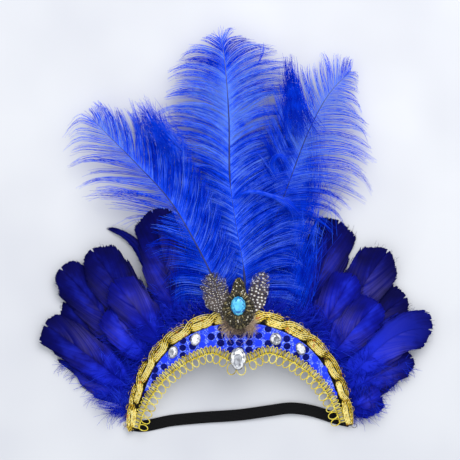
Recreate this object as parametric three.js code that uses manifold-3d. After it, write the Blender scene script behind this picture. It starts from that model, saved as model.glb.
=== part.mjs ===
// Showgirl feather headdress, lying face up on a flat surface.
// A bowed crescent of black felt carries sequin cloth, gold trims and cut stones. Two fans of goose
// feathers and three ostrich plumes are fixed behind it, and an elastic joins its two ends.
// Millimetres. +X to the right, +Y from the elastic to the plume tips, +Z up from the surface.
import * as THREE from "three";
import { mergeVertices } from "three/addons/utils/BufferGeometryUtils.js";
import Module from "manifold-3d";

const wasm = await Module();
wasm.setup();

// Clearance between pieces that touch on the real object.
const GAP = 0.3;
// Distance under which two corners of one solid are the same corner.
const WELD = 1e-3;

// Point under the middle of the whole outline, measured from the middle of the band's chord.
const FOOTPRINT_CENTRE = { x: -3, y: 228.86 };

const ELASTIC = { width: 12, thickness: 1.2, steps: 22 };
// Middle line of the elastic: place and lift above the surface.
const ELASTIC_ROUTE = [
  { x: -126, y: 1, lift: 0 },
  { x: -112, y: 1.5, lift: 0 },
  { x: -80, y: 8, lift: 0.4 },
  { x: -46, y: 11, lift: 1 },
  { x: 0, y: 14.5, lift: 1.6 },
  { x: 34, y: 20, lift: 2.6 },
  { x: 58, y: 23, lift: 3 },
  { x: 82, y: 20, lift: 2 },
  { x: 112, y: 8, lift: 0 },
  { x: 126, y: 4, lift: 0 },
];

const BAND = {
  crownRadius: 128,
  crownEnd: 91.5,
  lowerRadius: 121.5,
  lowerDrop: 23,
  lowerEnd: 80,
  felt: 2.4,
  bow: 36,
  bowPower: 1.5,
  flatFrom: 124,
  clearance: ELASTIC.thickness + GAP,
  stations: 34,
};
const PEAK = { depth: 24, halfWidth: 36 };
const FACING = {
  crownRadius: 115.5,
  crownEnd: 73,
  lowerEnd: 61.5,
  inset: 0.8,
  seat: 0.75,
  thickness: 1,
  stations: 28,
};
const BRAID = {
  radius: 126.3,
  end: 90,
  waves: 7,
  stepsPerWave: 6,
  sides: 5,
  swing: { middle: 3.6, end: 1.7 },
  halfWidth: { middle: 2.9, end: 2 },
  halfThickness: 1.2,
  crossing: 0.9,
  seat: 0.4,
};
const LOOPS = {
  count: 34,
  end: 79,
  headerWidth: { middle: 8.4, end: 5.2 },
  thickness: 1.5,
  halfWidth: 3.9,
  depth: 11,
  wire: 1.4,
  routePoints: 72,
};
// Corners round one loop, in half widths along the header and in depths below its edge.
const LOOP_OUTLINE = [
  { along: 0.62, drop: 0 },
  { along: 1, drop: 0.45 },
  { along: 0.66, drop: 0.85 },
  { along: 0, drop: 1 },
  { along: -0.66, drop: 0.85 },
  { along: -1, drop: 0.45 },
  { along: -0.62, drop: 0 },
];

// Height of the felt's upper face and of the facing's upper face above the band's underside.
const FELT_TOP = BAND.felt;
const FACING_TOP = FELT_TOP + FACING.seat + FACING.thickness;

// Stones on the facing: place, half width, half height and turn in degrees about the facing's normal.
const CRYSTALS = [
  { name: "crystal_left_outer", x: -75.5, y: 86, halfWidth: 5.2, halfHeight: 7, turn: -24 },
  { name: "crystal_left_inner", x: -50.5, y: 103, halfWidth: 5.4, halfHeight: 7, turn: -22 },
  { name: "crystal_right_inner", x: 40.5, y: 103.5, halfWidth: 6.5, halfHeight: 6.5, turn: 0 },
  { name: "crystal_right_outer", x: 69, y: 92, halfWidth: 5.2, halfHeight: 7, turn: 30 },
];
const CRYSTAL_DEPTH = 4.5;
// Pear stone on the peak, which also lies across the loop trim; point is how far its foot narrows.
const DROP = { x: -2.2, y: 81, halfWidth: 9, halfHeight: 12.4, depth: 6, turn: 0, point: 0.32 };
// Rows of corners up a cut stone: share of the outline, of the depth, and turn in sides.
const STONE_ROWS = [
  { scale: 0.94, height: 0, turn: 0 },
  { scale: 1, height: 0.24, turn: 0 },
  { scale: 0.84, height: 0.72, turn: 0.5 },
  { scale: 0.56, height: 1, turn: 0 },
];
const STONE_SIDES = 12;

const MEDALLION = {
  x: -1.5,
  y: 144.5,
  halfWidth: 19,
  halfHeight: 29.5,
  taper: 0.34,
  tipPower: 3,
  thickness: 2.4,
  sides: 24,
  beads: 16,
  beadRadius: 2.3,
  beadSides: 10,
  beadRings: 4,
  base: 49.4,
};
// Rounded edge of the medallion's plate: how far in the outline lies, and the height.
const MEDALLION_EDGE = [
  { inset: 1.2, height: 0 },
  { inset: 0, height: 0.8 },
  { inset: 0, height: 1.8 },
  { inset: 1.4, height: MEDALLION.thickness },
];
const TURQUOISE = { x: -2.2, y: 141.5, halfWidth: 8.6, halfHeight: 11, depth: 6.5 };

// Brown down: a round pad with soft locks fanned below it, every second one shorter and a little higher.
const DOWN = {
  y: 119,
  radius: 9,
  padSides: 12,
  locks: 8,
  lockStart: 3.6,
  lockWidth: 12,
  reach: 27,
  shortenBelow: 0.42,
  secondReach: 0.88,
  secondLift: 0.1,
  firstHeading: 65,
  lastHeading: 295,
  thickness: 2,
  lockThickness: 1.8,
  base: 44.8,
};

// Blade feathers: root on the band as degrees from +Y, length, heading in degrees from +Y, bend towards
// the tip in degrees, width, height above the surface at the middle and the tip, and roll in degrees.
const GOOSE_ROOT_RADIUS = 122;
const GOOSE_LEFT = [
  { root: -35, length: 154, heading: -10, bend: -6, width: 52, middle: 15, tip: 44, roll: 4 },
  { root: -40, length: 164, heading: -16.5, bend: -72, width: 22, middle: 7, tip: 1, roll: 0 },
  { root: -48, length: 148, heading: -31.5, bend: -5, width: 54, middle: 13, tip: 14, roll: 3 },
  { root: -57, length: 157, heading: -40, bend: -6, width: 46, middle: 9, tip: 9, roll: 0 },
  { root: -65, length: 132, heading: -43, bend: -5, width: 42, middle: 5, tip: 1.2, roll: 0 },
  { root: -72, length: 136, heading: -51, bend: -8, width: 44, middle: 10.6, tip: 10, roll: 0 },
  { root: -78, length: 106, heading: -58, bend: -6, width: 34, middle: 3, tip: 1.2, roll: 0 },
  { root: -82, length: 56, heading: -60, bend: -4, width: 28, middle: 12, tip: 12, roll: 0 },
  { root: -53, length: 84, heading: -41, bend: 6, width: 44, middle: 16, tip: 17, roll: 0 },
  { root: -43, length: 102, heading: -36, bend: -8, width: 44, middle: 22, tip: 23, roll: 0 },
];
const GOOSE_RIGHT = [
  { root: 35, length: 146, heading: 15, bend: 12, width: 54, middle: 7, tip: 1.2, roll: 0 },
  { root: 48, length: 147, heading: 31, bend: 8, width: 54, middle: 12, tip: 13, roll: 0 },
  { root: 58, length: 124, heading: 41, bend: 18, width: 52, middle: 8, tip: 7, roll: 0 },
  { root: 67, length: 133, heading: 48, bend: 26, width: 46, middle: 15.2, tip: 16, roll: 0 },
  { root: 73, length: 106, heading: 58, bend: 6, width: 36, middle: 10, tip: 9, roll: 0 },
  { root: 78, length: 82, heading: 58, bend: 4, width: 36, middle: 3, tip: 1.2, roll: 0 },
  { root: 81, length: 46, heading: 66, bend: 2, width: 34, middle: 13, tip: 13, roll: 0 },
  { root: 43, length: 100, heading: 26, bend: 8, width: 40, middle: 16, tip: 17, roll: 0 },
  { root: 53, length: 95, heading: 38, bend: 12, width: 44, middle: 20, tip: 21, roll: 0 },
];
const BLADE_STATIONS = [0, 0.12, 0.25, 0.42, 0.62, 0.8, 0.93, 1];
const BLADE = {
  bareShare: 0.13,
  openShare: 0.44,
  riseShare: 0.38,
  roundShare: 0.78,
  roundPower: 2.6,
  bendPower: 3,
  tipPower: 1.8,
  planSteps: 24,
  quillHalf: 1.3,
  edge: 0.5,
  camber: 1.4,
};
// Half thickness of a blade feather's shaft at its root and once the vane has begun.
const SHAFT_HALF = { root: 0.4, vane: 0.9, vaneShare: 0.3 };
// Level stretch of a quill under the felt, and its clearance to the felt.
const QUILL = { underFelt: 10, clearance: 0.45 };

// Guinea feathers, from a root on the down, level and then drooping from their base height to the tip.
const GUINEA = [
  { name: "guinea_left", x: -9, y: 124, length: 62, heading: -32, bend: -4, width: 22 },
  { name: "guinea_right", x: 7, y: 124, length: 58, heading: 12, bend: 8, width: 20 },
];
const GUINEA_HEIGHT = { base: 47.8, tip: 45 };

// Ostrich plumes: the root under the felt, the shaft on to its tip, then the vane at shares of the shaft's
// length: the reach of the barbs on each side, the angle at which they leave and how far they turn outwards.
const PLUMES = [
  {
    name: "plume_left",
    droop: { left: 9, right: 2.5 },
    root: { x: -12, y: 104 },
    shaft: [
      { x: -19, y: 135, z: 33.4 },
      { x: -29, y: 168, z: 39.5 },
      { x: -49.5, y: 210.5, z: 40 },
      { x: -80.5, y: 262, z: 34 },
      { x: -115, y: 300, z: 27 },
      { x: -149.5, y: 334.7, z: 22 },
      { x: -168, y: 354, z: 20 },
    ],
    vane: [
      { share: 0.16, left: 58, right: 40, open: 66, turn: 40 },
      { share: 0.3, left: 66, right: 60, open: 58, turn: 34 },
      { share: 0.41, left: 62, right: 66, open: 52, turn: 34 },
      { share: 0.43, left: 0, right: 66, open: 52, turn: 34 },
      { share: 0.5, left: 0, right: 70, open: 50, turn: 34 },
      { share: 0.52, left: 98, right: 70, open: 48, turn: 34 },
      { share: 0.7, left: 84, right: 72, open: 42, turn: 34 },
      { share: 0.85, left: 64, right: 58, open: 34, turn: 34 },
      { share: 0.98, left: 44, right: 40, open: 20, turn: 26 },
    ],
  },
  {
    name: "plume_centre",
    droop: { left: 7, right: 2.5 },
    root: { x: 3, y: 98 },
    shaft: [
      { x: 5, y: 140, z: 31 },
      { x: 4.6, y: 179, z: 30 },
      { x: -4.6, y: 233, z: 30 },
      { x: -11.5, y: 285, z: 29 },
      { x: -12.7, y: 354, z: 25 },
      { x: -17.5, y: 420, z: 20 },
      { x: -21, y: 442, z: 18 },
    ],
    vane: [
      { share: 0.12, left: 40, right: 64, open: 70, turn: 40 },
      { share: 0.3, left: 60, right: 84, open: 50, turn: 26 },
      { share: 0.44, left: 66, right: 92, open: 46, turn: 24 },
      { share: 0.6, left: 76, right: 84, open: 48, turn: 44 },
      { share: 0.75, left: 76, right: 76, open: 46, turn: 52 },
      { share: 0.88, left: 58, right: 58, open: 40, turn: 60 },
      { share: 0.98, left: 36, right: 36, open: 24, turn: 60 },
    ],
  },
  {
    name: "plume_right",
    droop: { left: 4, right: 9 },
    root: { x: 17, y: 104 },
    shaft: [
      { x: 16.5, y: 140, z: 27 },
      { x: 20, y: 180, z: 23.5 },
      { x: 34, y: 224, z: 22 },
      { x: 55, y: 279.5, z: 20.5 },
      { x: 79.4, y: 342.7, z: 18.5 },
      { x: 103, y: 385, z: 16 },
      { x: 127, y: 410, z: 14 },
    ],
    vane: [
      { share: 0.2, left: 40, right: 56, open: 66, turn: 30 },
      { share: 0.36, left: 52, right: 62, open: 54, turn: 34 },
      { share: 0.52, left: 58, right: 80, open: 50, turn: 36 },
      { share: 0.68, left: 62, right: 80, open: 48, turn: 36 },
      { share: 0.82, left: 60, right: 66, open: 40, turn: 36 },
      { share: 0.93, left: 36, right: 38, open: 32, turn: 34 },
      { share: 0.99, left: 20, right: 22, open: 20, turn: 20 },
    ],
  },
];
// Vane of a plume: shares of a barb where its section bends and where two locks part, and half thicknesses.
const VANE = {
  sections: 24,
  near: 0.38,
  notch: 0.74,
  body: 0.7,
  edge: 0.4,
  leastReach: 5,
  barbSteps: 10,
  droopPower: 1.5,
};
// Sections of the bare quill below the vane, as shares of its length.
const QUILL_SECTIONS = [0, 0.5, 0.9];
// Sides of a plume's section that carry the locks, counted from its left edge over the top.
const LOCK_SIDES = { 4: "right", 9: "left" };
// Quads that close a plume's section at its two ends.
const SECTION_CAPS = [
  [0, 9, 8, 1],
  [1, 8, 7, 2],
  [2, 7, 6, 3],
  [3, 6, 5, 4],
];
// Lock of down from root to tip: shares of its length, width and thickness.
const LOCK_SECTIONS = [
  { share: 0, width: 0.7, thickness: 1 },
  { share: 0.35, width: 1, thickness: 1 },
  { share: 0.72, width: 0.72, thickness: 0.8 },
  { share: 1, width: 0.1, thickness: 0.4 },
];
const SHAFT = { rootRadius: 1.8, tipRadius: 0.8 };

const FINISH = {
  felt: { color: 0x0b0b0d, roughness: 0.95, metalness: 0 },
  sequin: { color: 0x2a3fd8, roughness: 0.35, metalness: 0.3 },
  gold: { color: 0xd8b23c, roughness: 0.3, metalness: 0.9 },
  bronze: { color: 0x4a3c1e, roughness: 0.4, metalness: 0.7 },
  crystal: { color: 0xdfe6ee, roughness: 0.08, metalness: 0.2 },
  turquoise: { color: 0x1fb2e6, roughness: 0.08, metalness: 0.1 },
  guinea: { color: 0x6b6460, roughness: 0.8, metalness: 0 },
  down: { color: 0x9a7f68, roughness: 0.95, metalness: 0 },
  goose: { color: 0x14107a, roughness: 0.55, metalness: 0 },
  ostrich: { color: 0x1838d0, roughness: 0.8, metalness: 0 },
  elastic: { color: 0x18181a, roughness: 0.9, metalness: 0 },
};

const radians = THREE.MathUtils.degToRad;
const lerp = THREE.MathUtils.lerp;
const smoothstep = THREE.MathUtils.smoothstep;

// Closed solid through rings of equal point counts, each ring closed and capped at the two ends.
function loft(rings) {
  const sides = rings[0].length;
  const points = rings.flat();
  const triangles = [];
  for (let ring = 0; ring + 1 < rings.length; ring += 1) {
    for (let side = 0; side < sides; side += 1) {
      const next = (side + 1) % sides;
      const a = ring * sides + side;
      const b = ring * sides + next;
      triangles.push(a, b, b + sides, a, b + sides, a + sides);
    }
  }
  const last = (rings.length - 1) * sides;
  for (let side = 1; side + 1 < sides; side += 1) {
    triangles.push(0, side + 1, side, last, last + side, last + side + 1);
  }
  return facingOut(points, triangles);
}

// Indexed geometry whose faces point out, whichever way round its rings were given.
function facingOut(points, triangles) {
  let volume = 0;
  for (let i = 0; i < triangles.length; i += 3) {
    const [a, b, c] = [points[triangles[i]], points[triangles[i + 1]], points[triangles[i + 2]]];
    volume += a.dot(b.clone().cross(c));
  }
  const turned = [];
  for (let i = 0; i < triangles.length; i += 3) {
    const [a, b, c] = triangles.slice(i, i + 3);
    turned.push(...(volume < 0 ? [a, c, b] : [a, b, c]));
  }
  const geometry = new THREE.BufferGeometry().setFromPoints(points);
  geometry.setIndex(turned);
  return geometry;
}

function toSolid(geometry) {
  const bare = geometry.clone();
  bare.deleteAttribute("normal");
  bare.deleteAttribute("uv");
  const merged = mergeVertices(bare, WELD);
  const vertProperties = Float32Array.from(merged.attributes.position.array);
  const triVerts = Uint32Array.from(merged.index.array);
  return new wasm.Manifold(new wasm.Mesh({ numProp: 3, vertProperties, triVerts }));
}

// One body from several geometries that overlap.
function fuse(geometries) {
  const solid = geometries.map(toSolid).reduce((whole, piece) => whole.add(piece));
  const mesh = solid.getMesh();
  const geometry = new THREE.BufferGeometry();
  geometry.setAttribute("position", new THREE.BufferAttribute(Float32Array.from(mesh.vertProperties), 3));
  geometry.setIndex(Array.from(mesh.triVerts));
  return geometry;
}

function named(name, geometry, finish) {
  const mesh = new THREE.Mesh(geometry, new THREE.MeshStandardMaterial(FINISH[finish]));
  mesh.name = name;
  return mesh;
}

// Height of the felt's underside above the surface at a distance x from the middle.
function bandRise(x) {
  const share = Math.min(1, Math.abs(x) / BAND.flatFrom);
  return BAND.clearance + BAND.bow * (1 - share ** 2) ** BAND.bowPower;
}

// Angle by which the band's surface leans at x, about the Y axis.
function bandLean(x) {
  const step = 0.5;
  return -Math.atan2(bandRise(x + step) - bandRise(x - step), 2 * step);
}

function bowed(point, height) {
  return new THREE.Vector3(point.x, point.y, bandRise(point.x) + height);
}

// Unit vector in plan at a heading in degrees from +Y, positive towards +X.
function headed(degrees) {
  return new THREE.Vector2(Math.sin(radians(degrees)), Math.cos(radians(degrees)));
}

function crownPoint(radius, degrees) {
  return headed(degrees).multiplyScalar(radius);
}

// Lower edge of the crescent, an arc that dips to a rounded peak in the middle.
function lowerPoint(degrees, inset = 0) {
  const point = headed(degrees).multiplyScalar(BAND.lowerRadius + inset);
  const share = Math.min(1, Math.abs(point.x) / PEAK.halfWidth);
  point.y -= BAND.lowerDrop + (PEAK.depth * (1 + Math.cos(Math.PI * share))) / 2;
  return point;
}

// Sheet that follows the bowed crescent between its crown edge and its lower edge.
function bandSheet({ crownRadius, crownEnd, lowerEnd, inset = 0, stations }, base, thickness) {
  const rings = [];
  for (let station = 0; station <= stations; station += 1) {
    const side = (2 * station) / stations - 1;
    const crown = crownPoint(crownRadius, side * crownEnd);
    const lower = lowerPoint(side * lowerEnd, inset);
    rings.push([
      bowed(crown, base),
      bowed(lower, base),
      bowed(lower, base + thickness),
      bowed(crown, base + thickness),
    ]);
  }
  return loft(rings);
}

function elasticStrap() {
  const knots = ELASTIC_ROUTE.map(({ x, y, lift }) => new THREE.Vector3(x, y, lift));
  const route = new THREE.CatmullRomCurve3(knots);
  const rings = [];
  for (let step = 0; step <= ELASTIC.steps; step += 1) {
    const share = step / ELASTIC.steps;
    const middle = route.getPointAt(share);
    middle.z = Math.max(0, middle.z);
    const along = route.getTangentAt(share);
    const across = new THREE.Vector3(-along.y, along.x, 0).setLength(ELASTIC.width / 2);
    const up = new THREE.Vector3(0, 0, ELASTIC.thickness);
    const left = middle.clone().add(across);
    const right = middle.clone().sub(across);
    rings.push([left, right, right.clone().add(up), left.clone().add(up)]);
  }
  return loft(rings);
}

// One strand of the twisted braid; phase 0 and phase pi cross over each other.
function braidStrand(phase) {
  const steps = BRAID.waves * BRAID.stepsPerWave;
  const rings = [];
  for (let step = 0; step <= steps; step += 1) {
    const side = (2 * step) / steps - 1;
    const wave = (2 * Math.PI * BRAID.waves * step) / steps + phase;
    const swing = lerp(BRAID.swing.middle, BRAID.swing.end, Math.abs(side));
    const halfWidth = lerp(BRAID.halfWidth.middle, BRAID.halfWidth.end, Math.abs(side));
    const lift = FELT_TOP + BRAID.seat + BRAID.halfThickness + BRAID.crossing * (1 + Math.cos(wave));
    const ring = [];
    for (let corner = 0; corner < BRAID.sides; corner += 1) {
      const turn = (2 * Math.PI * (corner + 0.5)) / BRAID.sides;
      const radius = BRAID.radius + swing * Math.sin(wave) + halfWidth * Math.cos(turn);
      const height = lift + BRAID.halfThickness * Math.sin(turn);
      ring.push(bowed(crownPoint(radius, side * BRAID.end), height));
    }
    rings.push(ring);
  }
  return loft(rings);
}

// Route of the loop trim's header along the crescent's lower edge, in plan.
function headerRoute() {
  const points = [];
  for (let index = 0; index <= LOOPS.routePoints; index += 1) {
    const point = lowerPoint(LOOPS.end * ((2 * index) / LOOPS.routePoints - 1));
    points.push(new THREE.Vector3(point.x, point.y, 0));
  }
  return new THREE.CatmullRomCurve3(points);
}

// Corners of one loop and its stretch of header: the distance along the header, the edge of the header
// that the corner starts from, and the drop beyond that edge. The wire keeps its width round the hole.
function loopCorners(pitch) {
  const { halfWidth, depth, wire } = LOOPS;
  const rim = LOOP_OUTLINE.map(({ along, drop }) => ({
    along: along * halfWidth,
    edge: 1,
    drop: drop * depth,
  }));
  const hole = LOOP_OUTLINE.map(({ along, drop }) => ({
    along: along * (halfWidth - wire),
    edge: 1,
    drop: wire / 2 + drop * (depth - 1.5 * wire),
  }));
  const contour = [
    { along: -pitch / 2, edge: -1, drop: 0 },
    { along: pitch / 2, edge: -1, drop: 0 },
    { along: pitch / 2, edge: 1, drop: 0 },
    ...rim,
    { along: -pitch / 2, edge: 1, drop: 0 },
  ];
  return { contour, hole };
}

// Header and open loops, made loop by loop; neighbours share the header's corners between them.
function loopTrim() {
  const route = headerRoute();
  const pitch = route.getLength() / LOOPS.count;
  const { contour, hole } = loopCorners(pitch);
  const corners = [...contour, ...hole];
  const flat = ({ along, edge, drop }) => new THREE.Vector2(along, edge + drop);
  const faces = THREE.ShapeUtils.triangulateShape(contour.map(flat), [hole.map(flat)]);
  const place = (loop, { along, edge, drop }, height) => {
    const share = THREE.MathUtils.clamp((loop + 0.5 + along / pitch) / LOOPS.count, 0, 1);
    const width = lerp(LOOPS.headerWidth.middle, LOOPS.headerWidth.end, Math.abs(2 * share - 1));
    const out = (edge * width) / 2 + drop;
    const middle = route.getPointAt(share);
    const tangent = route.getTangentAt(share);
    const point = new THREE.Vector2(middle.x + tangent.y * out, middle.y - tangent.x * out);
    return bowed(point, FACING_TOP + GAP + height);
  };
  const points = [];
  const triangles = [];
  for (let loop = 0; loop < LOOPS.count; loop += 1) {
    const under = points.length;
    const top = under + corners.length;
    for (const height of [0, LOOPS.thickness]) {
      for (const corner of corners) points.push(place(loop, corner, height));
    }
    for (const [a, b, c] of faces) {
      triangles.push(top + a, top + b, top + c, under + a, under + c, under + b);
    }
    const wall = (a, b) => triangles.push(under + a, under + b, top + b, under + a, top + b, top + a);
    contour.forEach((_, corner) => {
      const joinsNext = corner === 1 && loop + 1 < LOOPS.count;
      const joinsPrevious = corner === contour.length - 1 && loop > 0;
      if (!joinsNext && !joinsPrevious) wall(corner, (corner + 1) % contour.length);
    });
    hole.forEach((_, corner) => {
      wall(contour.length + ((corner + 1) % hole.length), contour.length + corner);
    });
  }
  return mergeVertices(facingOut(points, triangles), WELD);
}

// Outline of a stone or plate: an oval whose lower end narrows by the given point.
function ovalPoint({ halfWidth, halfHeight, point = 0 }, turn, scale, z) {
  const x = Math.sin(turn) * halfWidth * scale;
  const y = Math.cos(turn) * halfHeight * scale;
  const narrow = 1 - point * Math.max(0, -Math.cos(turn)) ** 1.5;
  return new THREE.Vector3(x * narrow, y, z);
}

// Cut stone with a flat back, a girdle, two rows of crown facets and a table.
function cutStone(stone) {
  const rings = STONE_ROWS.map(({ scale, height, turn }) => {
    const ring = [];
    for (let side = 0; side < STONE_SIDES; side += 1) {
      const angle = (2 * Math.PI * (side + turn)) / STONE_SIDES;
      ring.push(ovalPoint(stone, angle, scale, height * stone.depth));
    }
    return ring;
  });
  return loft(rings);
}

// Stone that lies on the bowed band, leaning with it, with its back at a height above the band's underside.
function crystal(name, stone, seat) {
  const mesh = named(name, cutStone(stone), "crystal");
  const lean = bandLean(stone.x);
  mesh.position.set(stone.x, stone.y, bandRise(stone.x) + seat / Math.cos(lean));
  mesh.rotation.set(0, lean, radians(stone.turn));
  return mesh;
}

// Teardrop outline of the medallion, narrow at the top.
function teardropPoint(turn, inset, z) {
  const upper = (1 + Math.cos(turn)) / 2 + Math.max(0, Math.cos(turn)) ** MEDALLION.tipPower;
  const x = Math.sin(turn) * (MEDALLION.halfWidth * (1 - MEDALLION.taper * upper) - inset);
  const y = Math.cos(turn) * (MEDALLION.halfHeight - inset);
  return new THREE.Vector3(x, y, z);
}

function medallion() {
  const { sides, beads, beadRadius, beadSides, beadRings, thickness } = MEDALLION;
  const rings = MEDALLION_EDGE.map(({ inset, height }) => {
    const ring = [];
    for (let side = 0; side < sides; side += 1) {
      ring.push(teardropPoint((2 * Math.PI * side) / sides, inset, height));
    }
    return ring;
  });
  const pieces = [loft(rings)];
  for (let bead = 0; bead < beads; bead += 1) {
    const place = teardropPoint((2 * Math.PI * (bead + 0.5)) / beads, beadRadius, thickness);
    const ball = new THREE.SphereGeometry(beadRadius, beadSides, beadRings);
    ball.rotateX(Math.PI / 2);
    ball.translate(place.x, place.y, place.z);
    pieces.push(ball);
  }
  const mesh = named("medallion", fuse(pieces), "bronze");
  mesh.position.set(MEDALLION.x, MEDALLION.y, MEDALLION.base);
  return mesh;
}

function turquoiseStone() {
  const mesh = named("turquoise_stone", cutStone(TURQUOISE), "turquoise");
  mesh.position.set(TURQUOISE.x, TURQUOISE.y, MEDALLION.base + MEDALLION.thickness + GAP);
  return mesh;
}

// One lock of down, leaving the pad at a heading.
function downLock(lock) {
  const second = lock % 2;
  const along = headed(lerp(DOWN.firstHeading, DOWN.lastHeading, lock / (DOWN.locks - 1)));
  const across = new THREE.Vector2(along.y, -along.x);
  const below = Math.max(0, -along.y);
  const reach = DOWN.reach * (1 - DOWN.shortenBelow * below ** 2) * (second ? DOWN.secondReach : 1);
  const rings = LOCK_SECTIONS.map(({ share, width, thickness }) => {
    const middle = along.clone().multiplyScalar(lerp(DOWN.lockStart, reach, share));
    const half = across.clone().multiplyScalar((DOWN.lockWidth * width) / 2);
    const up = (DOWN.lockThickness * thickness) / 2;
    const z = DOWN.base + DOWN.thickness / 2 + DOWN.secondLift * second;
    return [
      new THREE.Vector3(middle.x - half.x, DOWN.y + middle.y - half.y, z),
      new THREE.Vector3(middle.x, DOWN.y + middle.y, z - up),
      new THREE.Vector3(middle.x + half.x, DOWN.y + middle.y + half.y, z),
      new THREE.Vector3(middle.x, DOWN.y + middle.y, z + up),
    ];
  });
  return loft(rings);
}

function guineaDown() {
  const pad = new THREE.CylinderGeometry(DOWN.radius, DOWN.radius, DOWN.thickness, DOWN.padSides);
  pad.rotateX(Math.PI / 2);
  pad.translate(0, DOWN.y, DOWN.base + DOWN.thickness / 2);
  const pieces = [pad];
  for (let lock = 0; lock < DOWN.locks; lock += 1) pieces.push(downLock(lock));
  return fuse(pieces);
}

// Direction in plan of a blade feather's shaft, which bends towards its tip.
function bladeHeading(row, share) {
  return headed(row.heading + row.bend * share ** BLADE.bendPower);
}

// Place in plan at a share of a blade feather's length.
function bladePlan(row, root, share) {
  const point = root.clone();
  for (let step = 0; step < BLADE.planSteps; step += 1) {
    const middle = (share * (step + 0.5)) / BLADE.planSteps;
    point.addScaledVector(bladeHeading(row, middle), (row.length * share) / BLADE.planSteps);
  }
  return point;
}

// Half width of the vane at a share of the length: a bare quill, then a blade with a blunt round tip.
function bladeHalfWidth(width, share) {
  const opened = smoothstep(share, BLADE.bareShare, BLADE.openShare);
  const past = Math.max(0, share - BLADE.roundShare) / (1 - BLADE.roundShare);
  const rounded = Math.sqrt(1 - past ** BLADE.roundPower);
  return BLADE.quillHalf + (width / 2 - BLADE.quillHalf) * opened * rounded;
}

function bladeHeight(heights, share) {
  const risen = lerp(heights.root, heights.middle, smoothstep(share, heights.levelShare, BLADE.riseShare));
  const past = Math.max(0, share - BLADE.riseShare) / (1 - BLADE.riseShare);
  return risen + (heights.tip - heights.middle) * past ** BLADE.tipPower;
}

// Cambered blade with a thick shaft line down its middle.
function blade(row, root, heights) {
  const rings = BLADE_STATIONS.map((share) => {
    const middle = bladePlan(row, root, share);
    const along = bladeHeading(row, share);
    const half = bladeHalfWidth(row.width, share);
    const shaft = lerp(SHAFT_HALF.root, SHAFT_HALF.vane, smoothstep(share, 0, SHAFT_HALF.vaneShare));
    const height = bladeHeight(heights, share);
    const drop = BLADE.camber * (half / (row.width / 2)) ** 2;
    const lean = Math.sin(radians(row.roll ?? 0)) * half;
    const corner = (side, up) => {
      const x = middle.x + along.y * half * side;
      const y = middle.y - along.x * half * side;
      return new THREE.Vector3(x, y, height + (side === 0 ? 0 : lean * side - drop) + up);
    };
    return [
      corner(-1, BLADE.edge),
      corner(0, shaft),
      corner(1, BLADE.edge),
      corner(1, -BLADE.edge),
      corner(0, -shaft),
      corner(-1, -BLADE.edge),
    ];
  });
  return loft(rings);
}

function gooseFeather(name, row) {
  const root = crownPoint(GOOSE_ROOT_RADIUS, row.root);
  const edge = crownPoint(BAND.crownRadius, row.root);
  const under = bandRise(edge.x) - QUILL.clearance - SHAFT_HALF.root;
  const levelShare = QUILL.underFelt / row.length;
  const heights = { root: under, middle: row.middle, tip: row.tip, levelShare };
  return named(name, blade(row, root, heights), "goose");
}

function guineaFeather(row) {
  const { base, tip } = GUINEA_HEIGHT;
  const heights = { root: base, middle: base, tip, levelShare: 0 };
  return named(row.name, blade(row, new THREE.Vector2(row.x, row.y), heights), "guinea");
}

// Values of a plume's vane table at a share of its shaft.
function vaneAt(vane, share) {
  const upper = vane.findIndex((row) => row.share >= share);
  if (upper <= 0) return upper === 0 ? vane[0] : vane[vane.length - 1];
  const [from, to] = [vane[upper - 1], vane[upper]];
  const part = (share - from.share) / (to.share - from.share);
  const row = {};
  for (const key of ["left", "right", "open", "turn"]) row[key] = lerp(from[key], to[key], part);
  return row;
}

// Point on a barb that leaves the shaft at a heading, turns outwards and droops towards its end.
function barbPoint(start, heading, { reach, turn, side, droop }, share) {
  const point = start.clone();
  const length = (reach * share) / VANE.barbSteps;
  for (let step = 0; step < VANE.barbSteps; step += 1) {
    const along = headed(heading + (side * turn * share * (step + 0.5)) / VANE.barbSteps);
    point.x += along.x * length;
    point.y += along.y * length;
  }
  point.z -= droop * share ** VANE.droopPower;
  return point;
}

// Barbs on both sides of a plume's shaft at a share of its length.
function barbsAt(route, { vane, droop }, share) {
  const row = vaneAt(vane, share);
  const start = route.getPointAt(share);
  const tangent = route.getTangentAt(share);
  const heading = THREE.MathUtils.radToDeg(Math.atan2(tangent.x, tangent.y));
  const barb = (side, key) => {
    const reach = Math.max(row[key], VANE.leastReach);
    const shape = { reach, turn: row.turn, side, droop: droop[key] };
    return (part) => barbPoint(start, heading + side * row.open, shape, part);
  };
  const across = new THREE.Vector3(tangent.y, -tangent.x, 0).normalize();
  return { start, across, left: barb(-1, "left"), right: barb(1, "right") };
}

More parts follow.
